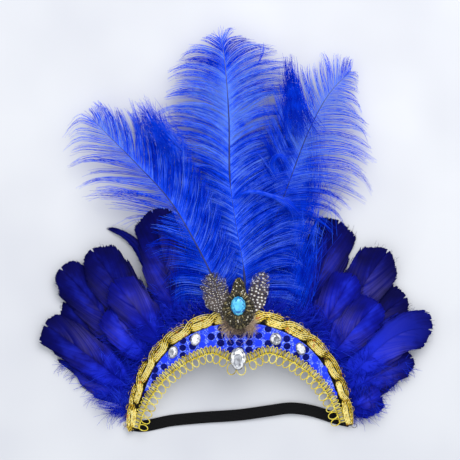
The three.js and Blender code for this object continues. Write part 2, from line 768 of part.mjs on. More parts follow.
// Plume as one body: a ridged shaft, a thin vane on each side and a pointed lock between two sections.
function ostrichPlume(plume) {
  const seat = -QUILL.clearance - SHAFT.rootRadius;
  const knots = plume.shaft.map(({ x, y, z }) => new THREE.Vector3(x, y, z));
  const route = new THREE.CatmullRomCurve3([bowed(plume.root, seat), ...knots]);
  const raised = (point, height) => point.clone().add(new THREE.Vector3(0, 0, height));
  const quillEnd = plume.vane[0].share;
  const shareOf = (section) => lerp(quillEnd, 1, section / VANE.sections);
  const section = (share, opened) => {
    const { start, across, left, right } = barbsAt(route, plume, share);
    const radius = lerp(SHAFT.rootRadius, SHAFT.tipRadius, share);
    const sideOf = (barb, sign, part) =>
      opened ? barb(part) : start.clone().addScaledVector(across, sign * radius * (1 + part));
    const [nearLeft, farLeft] = [sideOf(left, -1, VANE.near), sideOf(left, -1, VANE.notch)];
    const [nearRight, farRight] = [sideOf(right, 1, VANE.near), sideOf(right, 1, VANE.notch)];
    return [
      raised(farLeft, VANE.edge),
      raised(nearLeft, VANE.body),
      raised(start, radius),
      raised(nearRight, VANE.body),
      raised(farRight, VANE.edge),
      raised(farRight, -VANE.edge),
      raised(nearRight, -VANE.body),
      raised(start, -radius),
      raised(nearLeft, -VANE.body),
      raised(farLeft, -VANE.edge),
    ];
  };
  const rings = QUILL_SECTIONS.map((share) => section(quillEnd * share, false));
  for (let index = 0; index <= VANE.sections; index += 1) rings.push(section(shareOf(index), true));

  const sides = rings[0].length;
  const points = rings.flat();
  const triangles = [];
  rings.slice(1).forEach((_, ring) => {
    const lock = ring - QUILL_SECTIONS.length;
    const share = lock >= 0 ? shareOf(lock + 0.5) : 0;
    for (let side = 0; side < sides; side += 1) {
      const a = ring * sides + side;
      const b = ring * sides + ((side + 1) % sides);
      const edge = LOCK_SIDES[side];
      if (lock >= 0 && edge) {
        const tip = points.push(barbsAt(route, plume, share)[edge](1)) - 1;
        triangles.push(a, b, tip, b, b + sides, tip, b + sides, a + sides, tip, a + sides, a, tip);
      } else {
        triangles.push(a, b, b + sides, a, b + sides, a + sides);
      }
    }
  });
  const last = (rings.length - 1) * sides;
  for (const [a, b, c, d] of SECTION_CAPS) {
    triangles.push(a, b, c, a, c, d);
    triangles.push(last + a, last + c, last + b, last + a, last + d, last + c);
  }
  return named(plume.name, facingOut(points, triangles), "ostrich");
}

const headdress = new THREE.Group();
headdress.add(named("felt_base", bandSheet(BAND, 0, BAND.felt), "felt"));
const facing = bandSheet(FACING, FELT_TOP + FACING.seat, FACING.thickness);
headdress.add(named("sequin_facing", facing, "sequin"));
headdress.add(named("gold_braid", fuse([braidStrand(0), braidStrand(Math.PI)]), "gold"));
headdress.add(named("loop_trim", loopTrim(), "gold"));
headdress.add(named("elastic_strap", elasticStrap(), "elastic"));
for (const row of CRYSTALS) {
  headdress.add(crystal(row.name, { ...row, depth: CRYSTAL_DEPTH }, FACING_TOP + GAP));
}
headdress.add(crystal("crystal_drop", DROP, FACING_TOP + 2 * GAP + LOOPS.thickness));
headdress.add(medallion());
headdress.add(turquoiseStone());
headdress.add(named("guinea_down", guineaDown(), "down"));
for (const row of GUINEA) headdress.add(guineaFeather(row));
GOOSE_LEFT.forEach((row, index) => headdress.add(gooseFeather(`goose_left_${index + 1}`, row)));
GOOSE_RIGHT.forEach((row, index) => headdress.add(gooseFeather(`goose_right_${index + 1}`, row)));
for (const plume of PLUMES) headdress.add(ostrichPlume(plume));
headdress.position.set(-FOOTPRINT_CENTRE.x, -FOOTPRINT_CENTRE.y, 0);

export default headdress;
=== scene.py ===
"""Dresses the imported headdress: felt and sequin band, gold trims, stones, feathers and plumes."""

import logging
import math
from dataclasses import dataclass, field
from enum import Enum
from functools import cache, cached_property
from typing import ClassVar

import bpy
import numpy as np
from mathutils import Matrix, Vector
from numpy.random import default_rng


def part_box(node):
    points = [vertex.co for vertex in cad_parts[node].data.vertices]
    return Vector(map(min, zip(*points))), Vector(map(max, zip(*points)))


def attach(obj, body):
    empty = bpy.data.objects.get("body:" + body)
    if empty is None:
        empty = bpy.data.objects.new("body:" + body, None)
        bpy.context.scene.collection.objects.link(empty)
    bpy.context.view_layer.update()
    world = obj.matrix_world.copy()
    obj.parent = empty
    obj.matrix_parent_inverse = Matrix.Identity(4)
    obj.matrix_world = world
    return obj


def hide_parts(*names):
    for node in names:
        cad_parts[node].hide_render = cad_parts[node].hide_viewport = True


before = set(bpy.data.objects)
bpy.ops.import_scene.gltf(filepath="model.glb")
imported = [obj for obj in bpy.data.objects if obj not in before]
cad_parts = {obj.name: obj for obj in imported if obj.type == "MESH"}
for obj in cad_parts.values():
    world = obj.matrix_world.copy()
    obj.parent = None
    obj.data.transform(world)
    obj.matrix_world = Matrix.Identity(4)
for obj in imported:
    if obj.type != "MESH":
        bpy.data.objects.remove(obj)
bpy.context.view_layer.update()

LOG = logging.getLogger("headdress")
BODY = "root"
MM = 1000.0
FLOOR = 0.5

Array = np.ndarray
Pair = tuple[float, float]
Triple = tuple[float, float, float]
Colour = tuple[float, float, float, float]
Socket = bpy.types.NodeSocket
Node = bpy.types.Node
Material = bpy.types.Material
Piece = bpy.types.Object
Value = Socket | float | int | bool | str | tuple | None
Look = tuple[Socket, Socket | None]


class Side(Enum):
    """Side of a shaft, as seen from above with the tip up."""

    LEFT = -1
    RIGHT = 1


class Bead(Enum):
    """Small things that are sewn on in numbers."""

    SEED = "seed"
    BUGLE = "bugle"
    SEQUIN = "sequin"


def rgb(red: int, green: int, blue: int) -> Colour:
    """Turns an eye colour of 0 to 255 into a linear shader colour with full alpha."""
    shares = [channel / 255.0 for channel in (red, green, blue)]
    return (*(((s + 0.055) / 1.055) ** 2.4 if s > 0.04045 else s / 12.92 for s in shares), 1.0)


def smoothstep(value: Array, low: float, high: float) -> Array:
    """Eases a value from 0 at low to 1 at high."""
    share = np.clip((value - low) / (high - low), 0.0, 1.0)
    return share * share * (3.0 - 2.0 * share)


def ahead_of(turn: Array) -> Array:
    """Gives plan directions of headings in radians from +Y, positive to +X."""
    return np.stack([np.sin(turn), np.cos(turn)], axis=-1)


def compass(degrees: Array | float) -> Array:
    """Gives plan directions of headings in degrees from +Y, positive to +X."""
    return ahead_of(np.radians(degrees))


def right_of(turn: Array) -> Array:
    """Gives plan directions to the right of headings in radians."""
    return np.stack([np.cos(turn), -np.sin(turn)], axis=-1)


def raised(plan: Array, height: Array | float) -> Array:
    """Gives plan points a height each, or one for all."""
    up = np.broadcast_to(height, plan.shape[:-1])
    return np.concatenate([plan, up[..., None]], axis=-1)


def run_along(points: Array) -> Array:
    """Gives a line's length up to each of its points."""
    return np.concatenate([[0.0], np.cumsum(np.linalg.norm(np.diff(points, axis=0), axis=1))])


def trailed(start: Array, way: Array, length: Array) -> Array:
    """Follows strands whose headings change from point to point.

    Args:
        start: Plan points where they start.
        way: Headings in radians, strands by points.
        length: Their lengths.

    Returns:
        Plan points, strands by points by two.
    """
    step = (length / (way.shape[1] - 1))[:, None, None]
    legs = ahead_of(way) * step
    legs[:, 0] = 0.0
    return start[:, None] + np.cumsum(legs, axis=1)


class NodeGraph:
    """Adds nodes to one tree and links them."""

    def __init__(self, tree: bpy.types.NodeTree) -> None:
        """Takes the tree to work in."""
        self.tree = tree

    def add(self, kind: str, inputs: dict[str | int, Value], **settings: Value) -> Node:
        """Adds one node.

        Args:
            kind: The node's type name.
            inputs: A socket to link or a value to set, by the input's name or number.
            settings: The node's own options.

        Returns:
            The new node.
        """
        node = self.tree.nodes.new(kind)
        for key, value in settings.items():
            setattr(node, key, value)
        for key, value in inputs.items():
            if isinstance(value, Socket):
                self.tree.links.new(value, node.inputs[key])
            elif value is not None:
                node.inputs[key].default_value = value
        return node

    def math(self, operation: str, first: Value, second: Value = None, clamp: bool = False) -> Socket:
        """Adds a Math node and gives its result."""
        inputs = {0: first, 1: second}
        return self.add("ShaderNodeMath", inputs, operation=operation, use_clamp=clamp).outputs[0]

    def mix(self, share: Value, first: Value, second: Value) -> Socket:
        """Adds a colour Mix node and gives its result."""
        return self.add("ShaderNodeMix", {0: share, 6: first, 7: second}, data_type="RGBA").outputs[2]

    def ramp(self, share: Socket, *stops: tuple[float, Colour]) -> Socket:
        """Adds a Color Ramp.

        Args:
            share: What picks the colour.
            stops: Places from 0 to 1 with their colours.

        Returns:
            The picked colour.
        """
        node = self.add("ShaderNodeValToRGB", {"Fac": share})
        elements = node.color_ramp.elements
        while len(elements) < len(stops):
            elements.new(0.5)
        for element, (place, colour) in zip(elements, stops):
            element.position = place
            element.color = colour
        return node.outputs["Color"]

    def spread(self, value: Socket, low: float, high: float, first: float = 0.0, last: float = 1.0) -> Socket:
        """Adds a clamped Map Range node from low and high to a first and a last value."""
        inputs = {"Value": value, "From Min": low, "From Max": high, "To Min": first, "To Max": last}
        return self.add("ShaderNodeMapRange", inputs).outputs["Result"]

    def sway(self, base: Socket, texture: Socket, amount: float) -> Socket:
        """Adds a texture to a value, by an amount either way."""
        return self.math("ADD", base, self.spread(texture, 0.3, 0.7, -amount, amount))

    def trait(self, name: str) -> Socket:
        """Reads a mesh attribute as a number."""
        return self.add("ShaderNodeAttribute", {}, attribute_name=name).outputs["Fac"]

    def place(self) -> Socket:
        """Reads the object's own coordinates."""
        return self.add("ShaderNodeTexCoord", {}).outputs["Object"]

    def noise(self, scale: float, detail: float = 2.0) -> Socket:
        """Adds a Noise Texture and gives its value."""
        inputs = {"Vector": self.place(), "Scale": scale, "Detail": detail}
        return self.add("ShaderNodeTexNoise", inputs).outputs[0]

    def grains(self, scale: float) -> Socket:
        """Adds cells that each have a number of their own."""
        cells = self.add("ShaderNodeTexVoronoi", {"Vector": self.place(), "Scale": scale})
        return self.add("ShaderNodeSeparateColor", {0: cells.outputs["Color"]}).outputs[0]

    def bump(self, height: Socket, strength: float, distance: float) -> Socket:
        """Adds a Bump node and gives its normal."""
        inputs = {"Height": height, "Strength": strength, "Distance": distance}
        return self.add("ShaderNodeBump", inputs).outputs["Normal"]


@dataclass(frozen=True)
class Finish:
    """A procedural finish; each kind adds its own nodes."""

    name: str
    roughness: float = 0.5
    metallic: float = 0.0
    specular: float = 0.5
    sheen: float = field(default=0.0, kw_only=True)
    coat: float = field(default=0.0, kw_only=True)
    sheen_roughness: ClassVar[float] = 0.4
    coat_roughness: ClassVar[float] = 0.05

    def build(self) -> Material:
        """Makes the material.

        Returns:
            The material, with its even values set on the shader's own sockets.
        """
        material = bpy.data.materials.new(self.name)
        material.use_nodes = True
        shader = material.node_tree.nodes["Principled BSDF"]
        even = {
            "Roughness": self.roughness,
            "Metallic": self.metallic,
            "Specular IOR Level": self.specular,
            "Sheen Weight": self.sheen,
            "Sheen Roughness": self.sheen_roughness,
            "Coat Weight": self.coat,
            "Coat Roughness": self.coat_roughness,
        }
        for name, value in even.items():
            shader.inputs[name].default_value = value
        colour, normal = self.dress(NodeGraph(material.node_tree))
        material.node_tree.links.new(colour, shader.inputs["Base Color"])
        if normal is not None:
            material.node_tree.links.new(normal, shader.inputs["Normal"])
        return material

    def dress(self, graph: NodeGraph) -> Look:
        """Adds the colour and relief nodes, and gives the colour and any normal."""
        raise NotImplementedError


@dataclass(frozen=True)
class FeltFinish(Finish):
    """Black wool felt with a matted nap."""

    dark: Colour = rgb(9, 9, 11)
    light: Colour = rgb(34, 34, 38)

    def dress(self, graph: NodeGraph) -> Look:
        """Adds matted fibres in colour and relief.

        Args:
            graph: The material's node graph.

        Returns:
            The colour and the normal.
        """
        fibre = graph.noise(1500.0, 4.0)
        share = graph.math("MULTIPLY", fibre, graph.noise(90.0))
        return graph.ramp(share, (0.15, self.dark), (0.5, self.light)), graph.bump(fibre, 0.6, 0.0006)


@dataclass(frozen=True)
class GlitterFinish(Finish):
    """Royal blue cloth set with fine silvery glitter."""

    deep: Colour = rgb(22, 44, 206)
    body: Colour = rgb(44, 80, 246)
    spark: Colour = rgb(158, 178, 255)
    grain: float = 900.0

    def dress(self, graph: NodeGraph) -> Look:
        """Adds grains that each have a brightness of their own.

        Args:
            graph: The material's node graph.

        Returns:
            The colour and the normal.
        """
        pick = graph.grains(self.grain)
        cloud = graph.spread(graph.noise(120.0, 3.0), 0.3, 0.7)
        lit = graph.math("ADD", graph.math("MULTIPLY", pick, 0.8), graph.math("MULTIPLY", cloud, 0.25))
        stops = ((0.1, self.deep), (0.42, self.body), (0.66, self.body), (0.92, self.spark))
        return graph.ramp(lit, *stops), graph.bump(pick, 0.8, 0.0004)


@dataclass(frozen=True)
class SequinFinish(Finish):
    """Navy sequins, a few of them bright blue."""

    dark: Colour = rgb(2, 5, 72)
    body: Colour = rgb(5, 14, 118)
    bright: Colour = rgb(36, 62, 248)

    def dress(self, graph: NodeGraph) -> Look:
        """Adds the tint of each sequin and a brushed variation on it.

        Args:
            graph: The material's node graph.

        Returns:
            The colour and the normal.
        """
        base = graph.ramp(graph.trait("tint"), (0.0, self.dark), (0.6, self.body), (0.95, self.bright))
        fleck = graph.noise(700.0, 3.0)
        colour = graph.mix(graph.spread(fleck, 0.5, 0.8, 0.0, 0.3), base, self.bright)
        return colour, graph.bump(fleck, 0.3, 0.0004)


@dataclass(frozen=True)
class GoldFinish(Finish):
    """Metallic gold thread, tarnished in places."""

    shadow: Colour = rgb(36, 26, 0)
    body: Colour = rgb(242, 204, 40)
    light: Colour = rgb(255, 247, 172)
    copper: Colour = rgb(206, 104, 20)
    copper_from: float = 0.66
    glint: float = 0.3

    def dress(self, graph: NodeGraph) -> Look:
        """Adds the thread's tint, tarnish, glints and fine twist.

        Args:
            graph: The material's node graph.

        Returns:
            The colour and the normal.
        """
        twist = graph.noise(1900.0)
        share = graph.sway(graph.trait("tint"), graph.noise(210.0, 3.0), 0.3)
        glint = graph.spread(graph.grains(760.0), 0.0, 1.0, -self.glint, self.glint)
        lit = graph.sway(graph.math("ADD", share, glint), twist, 0.14)
        stops = ((0.08, self.shadow), (0.45, self.body), (0.62, self.body), (0.92, self.light))
        edge = (self.copper_from, self.copper_from + 0.08)
        spot = graph.spread(graph.noise(130.0, 1.0), *edge, 0.0, 0.75)
        return graph.mix(spot, graph.ramp(lit, *stops), self.copper), graph.bump(twist, 0.5, 0.0003)


@dataclass(frozen=True)
class BeadFinish(Finish):
    """Dark bronze glass beads, some gilt or cream, the gilt and cream tones partly painted glints."""

    dark: Colour = rgb(18, 16, 10)
    body: Colour = rgb(52, 46, 28)
    gilt: Colour = rgb(140, 126, 80)
    cream: Colour = rgb(236, 230, 212)

    def dress(self, graph: NodeGraph) -> Look:
        """Adds each bead's tint and a mottled painted sheen.

        Args:
            graph: The material's node graph.

        Returns:
            The colour and the normal.
        """
        stops = ((0.0, self.dark), (0.45, self.body), (0.75, self.gilt), (1.0, self.cream))
        # Painted sheen: mottled patches mixed towards the gilt tone.
        sheen_mottle = graph.noise(480.0)
        glow = graph.spread(sheen_mottle, 0.5, 0.8, 0.0, 0.4)
        colour = graph.mix(glow, graph.ramp(graph.trait("tint"), *stops), self.gilt)
        return colour, graph.bump(sheen_mottle, 0.15, 0.0004)


@dataclass(frozen=True)
class StoneFinish(Finish):
    """Foil-backed cut stone whose facets are painted in differing tones as reflections."""

    dark: Colour = rgb(92, 94, 104)
    body: Colour = rgb(204, 208, 216)
    light: Colour = rgb(255, 255, 255)

    def dress(self, graph: NodeGraph) -> Look:
        """Adds the facets' tones as painted reflections, and the foil's glints, also painted.

        Args:
            graph: The material's node graph.

        Returns:
            The colour, and no normal.
        """
        # Painted reflections: each facet's random tone, with a cloud of painted glints over it.
        cloud = graph.spread(graph.noise(260.0, 1.0), 0.35, 0.65, -0.12, 0.12)
        share = graph.math("ADD", graph.trait("facet"), cloud)
        return graph.ramp(share, (0.05, self.dark), (0.42, self.body), (0.75, self.light)), None


@dataclass(frozen=True)
class FeatherFinish(Finish):
    """Dyed barbs: a tint for each, another colour towards the tip."""

    dark: Colour = rgb(10, 8, 70)
    body: Colour = rgb(24, 14, 140)
    light: Colour = rgb(48, 36, 205)
    tip: Colour = rgb(16, 10, 70)
    root: Colour = rgb(60, 60, 200)
    tip_from: float = 0.6
    tip_share: float = 0.8
    root_share: float = 0.0
    cloud_scale: float = 70.0
    cloud_share: float = 0.4
    gloss: Colour = rgb(112, 104, 186)
    gloss_share: float = 0.0

    def dress(self, graph: NodeGraph) -> Look:
        """Adds the barbs' tints, a cloudy dye, the root's and the tip's colours and a painted satin sheen.

        Args:
            graph: The material's node graph.

        Returns:
            The colour, and no normal.
        """
        cloud = graph.noise(self.cloud_scale, 3.0)
        share = graph.sway(graph.trait("tint"), cloud, self.cloud_share / 2)
        base = graph.ramp(share, (0.05, self.dark), (0.5, self.body), (0.95, self.light))
        along = graph.trait("along")
        pale = graph.mix(graph.spread(along, 0.0, 0.4, self.root_share, 0.0), base, self.root)
        dark = graph.mix(graph.spread(along, self.tip_from, 1.0, 0.0, self.tip_share), pale, self.tip)
        # Painted satin sheen: a violet-grey highlight mixed in where the barbs carry it.
        shine = graph.math("MULTIPLY", graph.trait("gloss"), self.gloss_share, True)
        return graph.mix(shine, dark, self.gloss), None


@dataclass(frozen=True)
class SpottedFinish(Finish):
    """Grey-brown guinea barbs with rows of white dots."""

    dark: Colour = rgb(58, 52, 52)
    body: Colour = rgb(104, 94, 90)
    dot: Colour = rgb(240, 238, 236)
    length: float = 62.0
    half: float = 11.0
    pitch: float = 3.6
    dot_size: float = 0.26
    scatter: float = 0.55

    def dress(self, graph: NodeGraph) -> Look:
        """Adds dots laid out along and across the feather.

        Args:
            graph: The material's node graph.

        Returns:
            The colour, and no normal.
        """
        along = graph.math("MULTIPLY", graph.trait("along"), self.length / self.pitch)
        across = graph.math("MULTIPLY", graph.trait("across"), self.half / self.pitch)
        where = graph.add("ShaderNodeCombineXYZ", {"X": along, "Y": across}).outputs[0]
        inputs = {"Vector": where, "Scale": 1.0, "Randomness": self.scatter}
        cells = graph.add("ShaderNodeTexVoronoi", inputs, voronoi_dimensions="2D")
        dots = graph.spread(cells.outputs["Distance"], self.dot_size, self.dot_size + 0.1, 1.0, 0.0)
        base = graph.ramp(graph.trait("tint"), (0.1, self.dark), (0.8, self.body))
        return graph.mix(dots, base, self.dot), None


@dataclass(frozen=True)
class ElasticFinish(Finish):
    """Black woven elastic with ribs along its length."""

    dark: Colour = rgb(4, 4, 5)
    light: Colour = rgb(22, 22, 24)
    ribs: float = 26.0
    wefts: float = 900.0

    def dress(self, graph: NodeGraph) -> Look:
        """Adds ribs across the width and a crosswise weave.

        Args:
            graph: The material's node graph.

        Returns:
            The colour and the normal.
        """
        rib = graph.math("SINE", graph.math("MULTIPLY", graph.trait("across"), self.ribs))
        weft = graph.math("SINE", graph.math("MULTIPLY", graph.trait("along"), self.wefts))
        weave = graph.math("ADD", graph.math("MULTIPLY", rib, 0.35), graph.math("MULTIPLY", weft, 0.12))
        lint = graph.math("MULTIPLY", graph.noise(900.0, 3.0), 0.3)
        share = graph.math("ADD", graph.math("ADD", weave, 0.35), lint)
        return graph.ramp(share, (0.0, self.dark), (1.0, self.light)), graph.bump(weave, 0.7, 0.0004)


@dataclass(frozen=True)
class BackdropFinish(Finish):
    """Pale cloth under the headdress."""

    body: Colour = rgb(217, 219, 223)
    shade: Colour = rgb(207, 209, 215)

    def dress(self, graph: NodeGraph) -> Look:
        """Adds a faint unevenness."""
        return graph.ramp(graph.noise(6.0), (0.3, self.shade), (0.6, self.body)), None


@dataclass(frozen=True)
class NodeRecipe:
    """A Geometry Nodes tree and the identifiers of its named inputs."""

    tree: bpy.types.NodeTree
    ids: dict[str, str]

    def run(self, piece: Piece, values: dict[str, Value | Material]) -> Piece:
        """Runs the tree on a piece and keeps the result as its plain mesh.

        Args:
            piece: Object that holds the points or edges to work on.
            values: The tree's inputs by name.

        Returns:
            The same object with the finished mesh and no modifier.
        """
        modifier = piece.modifiers.new(self.tree.name, "NODES")
        modifier.node_group = self.tree
        for name, value in values.items():
            modifier[self.ids[name]] = value
        graph = bpy.context.evaluated_depsgraph_get()
        shown = piece.evaluated_get(graph)
        mesh = bpy.data.meshes.new_from_object(shown, preserve_all_data_layers=True, depsgraph=graph)
        piece.modifiers.clear()
        source = piece.data
        piece.data = mesh
        bpy.data.meshes.remove(source)
        mesh.name = piece.name
        return piece


def open_tree(name: str, **inputs: str) -> tuple[NodeGraph, Node, Node, dict[str, str]]:
    """Starts a Geometry Nodes tree.

    Args:
        name: The tree's name.
        inputs: Socket types by input name.

    Returns:
        The graph, the group's input and output nodes, and the inputs' identifiers.
    """
    tree = bpy.data.node_groups.new(name, "GeometryNodeTree")
    tree.interface.new_socket("Geometry", in_out="INPUT", socket_type="NodeSocketGeometry")
    ids = {}
    for label, kind in inputs.items():
        socket = tree.interface.new_socket(label, in_out="INPUT", socket_type=f"NodeSocket{kind}")
        ids[label] = socket.identifier
    tree.interface.new_socket("Geometry", in_out="OUTPUT", socket_type="NodeSocketGeometry")
    graph = NodeGraph(tree)
    return graph, graph.add("NodeGroupInput", {}), graph.add("NodeGroupOutput", {}), ids


def close_tree(graph: NodeGraph, made: Socket, smooth: bool, material: Socket, end: Node) -> None:
    """Ends a tree in Realize Instances and Set Material.

    Args:
        graph: The tree's graph.
        made: The geometry so far.
        smooth: Whether faces are shaded smooth.
        material: The material input.
        end: The group's output node.
    """
    real = graph.add("GeometryNodeRealizeInstances", {"Geometry": made}).outputs[0]
    shaded = graph.add("GeometryNodeSetShadeSmooth", {"Geometry": real, "Shade Smooth": smooth}).outputs[0]
    dressed = graph.add("GeometryNodeSetMaterial", {"Geometry": shaded, "Material": material}).outputs[0]
    graph.tree.links.new(dressed, end.inputs[0])


@cache
def sweep_recipe() -> NodeRecipe:
    """Makes the tree that runs a section along every strand.

    Returns:
        The recipe, with the inputs Sides, Depth and Finish.
    """
    graph, start, end, ids = open_tree("strand_sweep", Sides="Int", Depth="Float", Finish="Material")
    out = start.outputs
    strands = graph.add("GeometryNodeMeshToCurve", {"Mesh": out["Geometry"]}).outputs[0]
    level = graph.add("GeometryNodeSetCurveNormal", {"Curve": strands}, mode="Z_UP").outputs[0]
    circle = {"Resolution": out["Sides"], "Radius": 1.0}
    ring = graph.add("GeometryNodeCurvePrimitiveCircle", circle).outputs[0]
    size = graph.add("ShaderNodeCombineXYZ", {"X": 1.0, "Y": out["Depth"], "Z": 1.0}).outputs[0]
    section = graph.add("GeometryNodeTransform", {"Geometry": ring, "Scale": size}).outputs[0]
    girth = graph.add("GeometryNodeInputNamedAttribute", {"Name": "girth"}, data_type="FLOAT").outputs[0]
    inputs = {"Curve": level, "Profile Curve": section, "Scale": girth, "Fill Caps": True}
    swept = graph.add("GeometryNodeCurveToMesh", inputs).outputs[0]
    close_tree(graph, swept, True, out["Finish"], end)
    return NodeRecipe(graph.tree, ids)


@cache
def bead_recipe(kind: Bead) -> NodeRecipe:
    """Makes the tree that sets one kind of bead or sequin on every point.

    Args:
        kind: What is set on the points.

    Returns:
        The recipe, with the inputs Sides and Finish.
    """
    graph, start, end, ids = open_tree(f"{kind.value}_field", Sides="Int", Finish="Material")
    out = start.outputs
    if kind is Bead.SEED:
        shape = graph.add("GeometryNodeMeshUVSphere", {"Segments": out["Sides"], "Rings": 5, "Radius": 1.0})
    elif kind is Bead.BUGLE:
        tube = {"Vertices": out["Sides"], "Radius": 1.0, "Depth": 2.0}
        shape = graph.add("GeometryNodeMeshCylinder", tube)
    else:
        cup = {"Vertices": out["Sides"], "Radius Top": 0.55, "Radius Bottom": 1.0, "Depth": 1.0}
        shape = graph.add("GeometryNodeMeshCone", cup)
    turn, size = [
        graph.add("GeometryNodeInputNamedAttribute", {"Name": name}, data_type="FLOAT_VECTOR").outputs[0]
        for name in ("turn", "size")
    ]
    angle = graph.add("FunctionNodeEulerToRotation", {"Euler": turn}).outputs[0]
    inputs = {"Points": out["Geometry"], "Instance": shape.outputs[0], "Rotation": angle, "Scale": size}
    placed = graph.add("GeometryNodeInstanceOnPoints", inputs).outputs[0]
    close_tree(graph, placed, kind is not Bead.SEQUIN, out["Finish"], end)
    return NodeRecipe(graph.tree, ids)


def new_piece(name: str, points: Array, edges: Array | tuple = (), faces: list | Array = ()) -> Piece:
    """Makes a mesh object at the origin.

    Args:
        name: The piece's name.
        points: Points in metres of the frame, one row each.
        edges: Pairs of point numbers.
        faces: Rings of point numbers, outward.

    Returns:
        The new object, linked to the scene.
    """
    mesh = bpy.data.meshes.new(name)
    mesh.from_pydata(points.tolist(), np.asarray(edges).tolist(), [list(map(int, ring)) for ring in faces])
    mesh.update()
    piece = bpy.data.objects.new(name, mesh)
    bpy.context.scene.collection.objects.link(piece)
    return piece


def smooth_piece(name: str, points: Array, faces: list | Array, finish: Material) -> Piece:
    """Makes a smooth piece of the headdress.

    Args:
        name: The piece's name.
        points: Points in millimetres from the middle of the band's chord.
        faces: Rings of point numbers, outward.
        finish: Its material.

    Returns:
        The new object.
    """
    piece = new_piece(name, BAND.placed(points), faces=faces)
    piece.data.shade_smooth()
    piece.data.materials.append(finish)
    return piece


def set_trait(piece: Piece, name: str, values: Array, domain: str = "POINT") -> None:
    """Keeps numbers or vectors on a mesh as an attribute.

    Args:
        piece: Object that owns the mesh.
        name: The attribute's name.
        values: One number, or one row of three, for each element.
        domain: POINT or FACE.
    """
    flat = np.ascontiguousarray(values, dtype=np.float32)
    kind, key = ("FLOAT_VECTOR", "vector") if flat.ndim == 2 else ("FLOAT", "value")
    piece.data.attributes.new(name, kind, domain).data.foreach_set(key, flat.ravel())


def adopt(piece: Piece, slot: str, *nodes: str) -> None:
    """Parents a finished piece to the body's empty and hides the solids that it stands for.

    Args:
        piece: The piece.
        slot: Not used.
        nodes: Solids that it stands for.
    """
    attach(piece, BODY)
    if nodes:
        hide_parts(*nodes)
    LOG.info("%s: %d faces", piece.name, len(piece.data.polygons))


@dataclass(frozen=True)
class BandShape:
    """The bowed band's lines, in millimetres from the middle of its chord."""

    crown_radius: float = 128.0
    crown_end: float = 91.5
    lower_radius: float = 121.5
    lower_drop: float = 23.0
    crest_drop: float = 2.5
    lower_end: float = 80.0
    felt: float = 2.4
    facing_seat: float = 0.75
    facing_thickness: float = 1.0
    bow: float = 36.0
    bow_power: float = 1.5
    flat_from: float = 124.0
    clearance: float = 1.5
    peak_depth: float = 16.0
    peak_half_width: float = 38.0
    swell: float = 5.2
    swell_span: Pair = (34.0, 80.0)

    @property
    def facing_top(self) -> float:
        """Height of the cloth's face above the band's underside."""
        return self.felt + self.facing_seat + self.facing_thickness

    def chord(self) -> Array:
        """Place of the chord's middle in the frame, in metres, from the felt's box.

        Returns:
            The point with x, y and z.
        """
        low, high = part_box("felt_base")
        lift = self.crown_radius * math.cos(math.radians(self.crown_end)) / MM
        return np.array([(low.x + high.x) / 2.0, low.y - lift, 0.0])

    def placed(self, points: Array) -> Array:
        """Turns millimetres from the chord's middle into metres of the frame."""
        return np.asarray(points, dtype=float) / MM + self.chord()

    def rise(self, x: Array | float) -> Array:
        """Height of the band's underside at a place across."""
        share = np.minimum(1.0, np.abs(x) / self.flat_from)
        return self.clearance + self.bow * (1.0 - share**2) ** self.bow_power

    def lean(self, x: Array | float) -> Array:
        """Angle about +Y that lays a flat back on the band, in radians."""
        return -np.arctan(self.rise(np.asarray(x) + 0.5) - self.rise(np.asarray(x) - 0.5))

    def stand(self, degrees: Array | float) -> Array:
        """Millimetres by which the crown's shoulders stand out from the circle."""
        return self.swell * (1.0 - smoothstep(np.abs(degrees), *self.swell_span))

    def lower(self, degrees: Array, inset: float = 0.0) -> Array:
        """Plan points of the lower edge with its peak.

        Args:
            degrees: Angles from +Y.
            inset: Distance inside the edge.

        Returns:
            One plan point for each angle.
        """
        plan = compass(degrees) * (self.lower_radius + inset)
        reach = np.minimum(1.0, np.abs(plan[:, 0]) / self.peak_half_width)
        plan[:, 1] -= self.lower_drop + self.crest_drop * np.cos(np.radians(degrees)) ** 2
        plan[:, 1] -= self.peak_depth * (1.0 + np.cos(math.pi * reach)) / 2.0
        return plan

    def lifted(self, plan: Array, height: Array | float) -> Array:
        """Sets plan points at heights above the band's underside, square to it."""
        return raised(plan, self.rise(plan[..., 0]) + height / np.cos(self.lean(plan[..., 0])))

    def turn_at(self, x: float, spin: float) -> Matrix:
        """Rotation that spins a flat thing, in radians, and lays it on the band at a place across."""
        return Matrix.Rotation(float(self.lean(x)), 3, "Y") @ Matrix.Rotation(spin, 3, "Z")


BAND = BandShape()


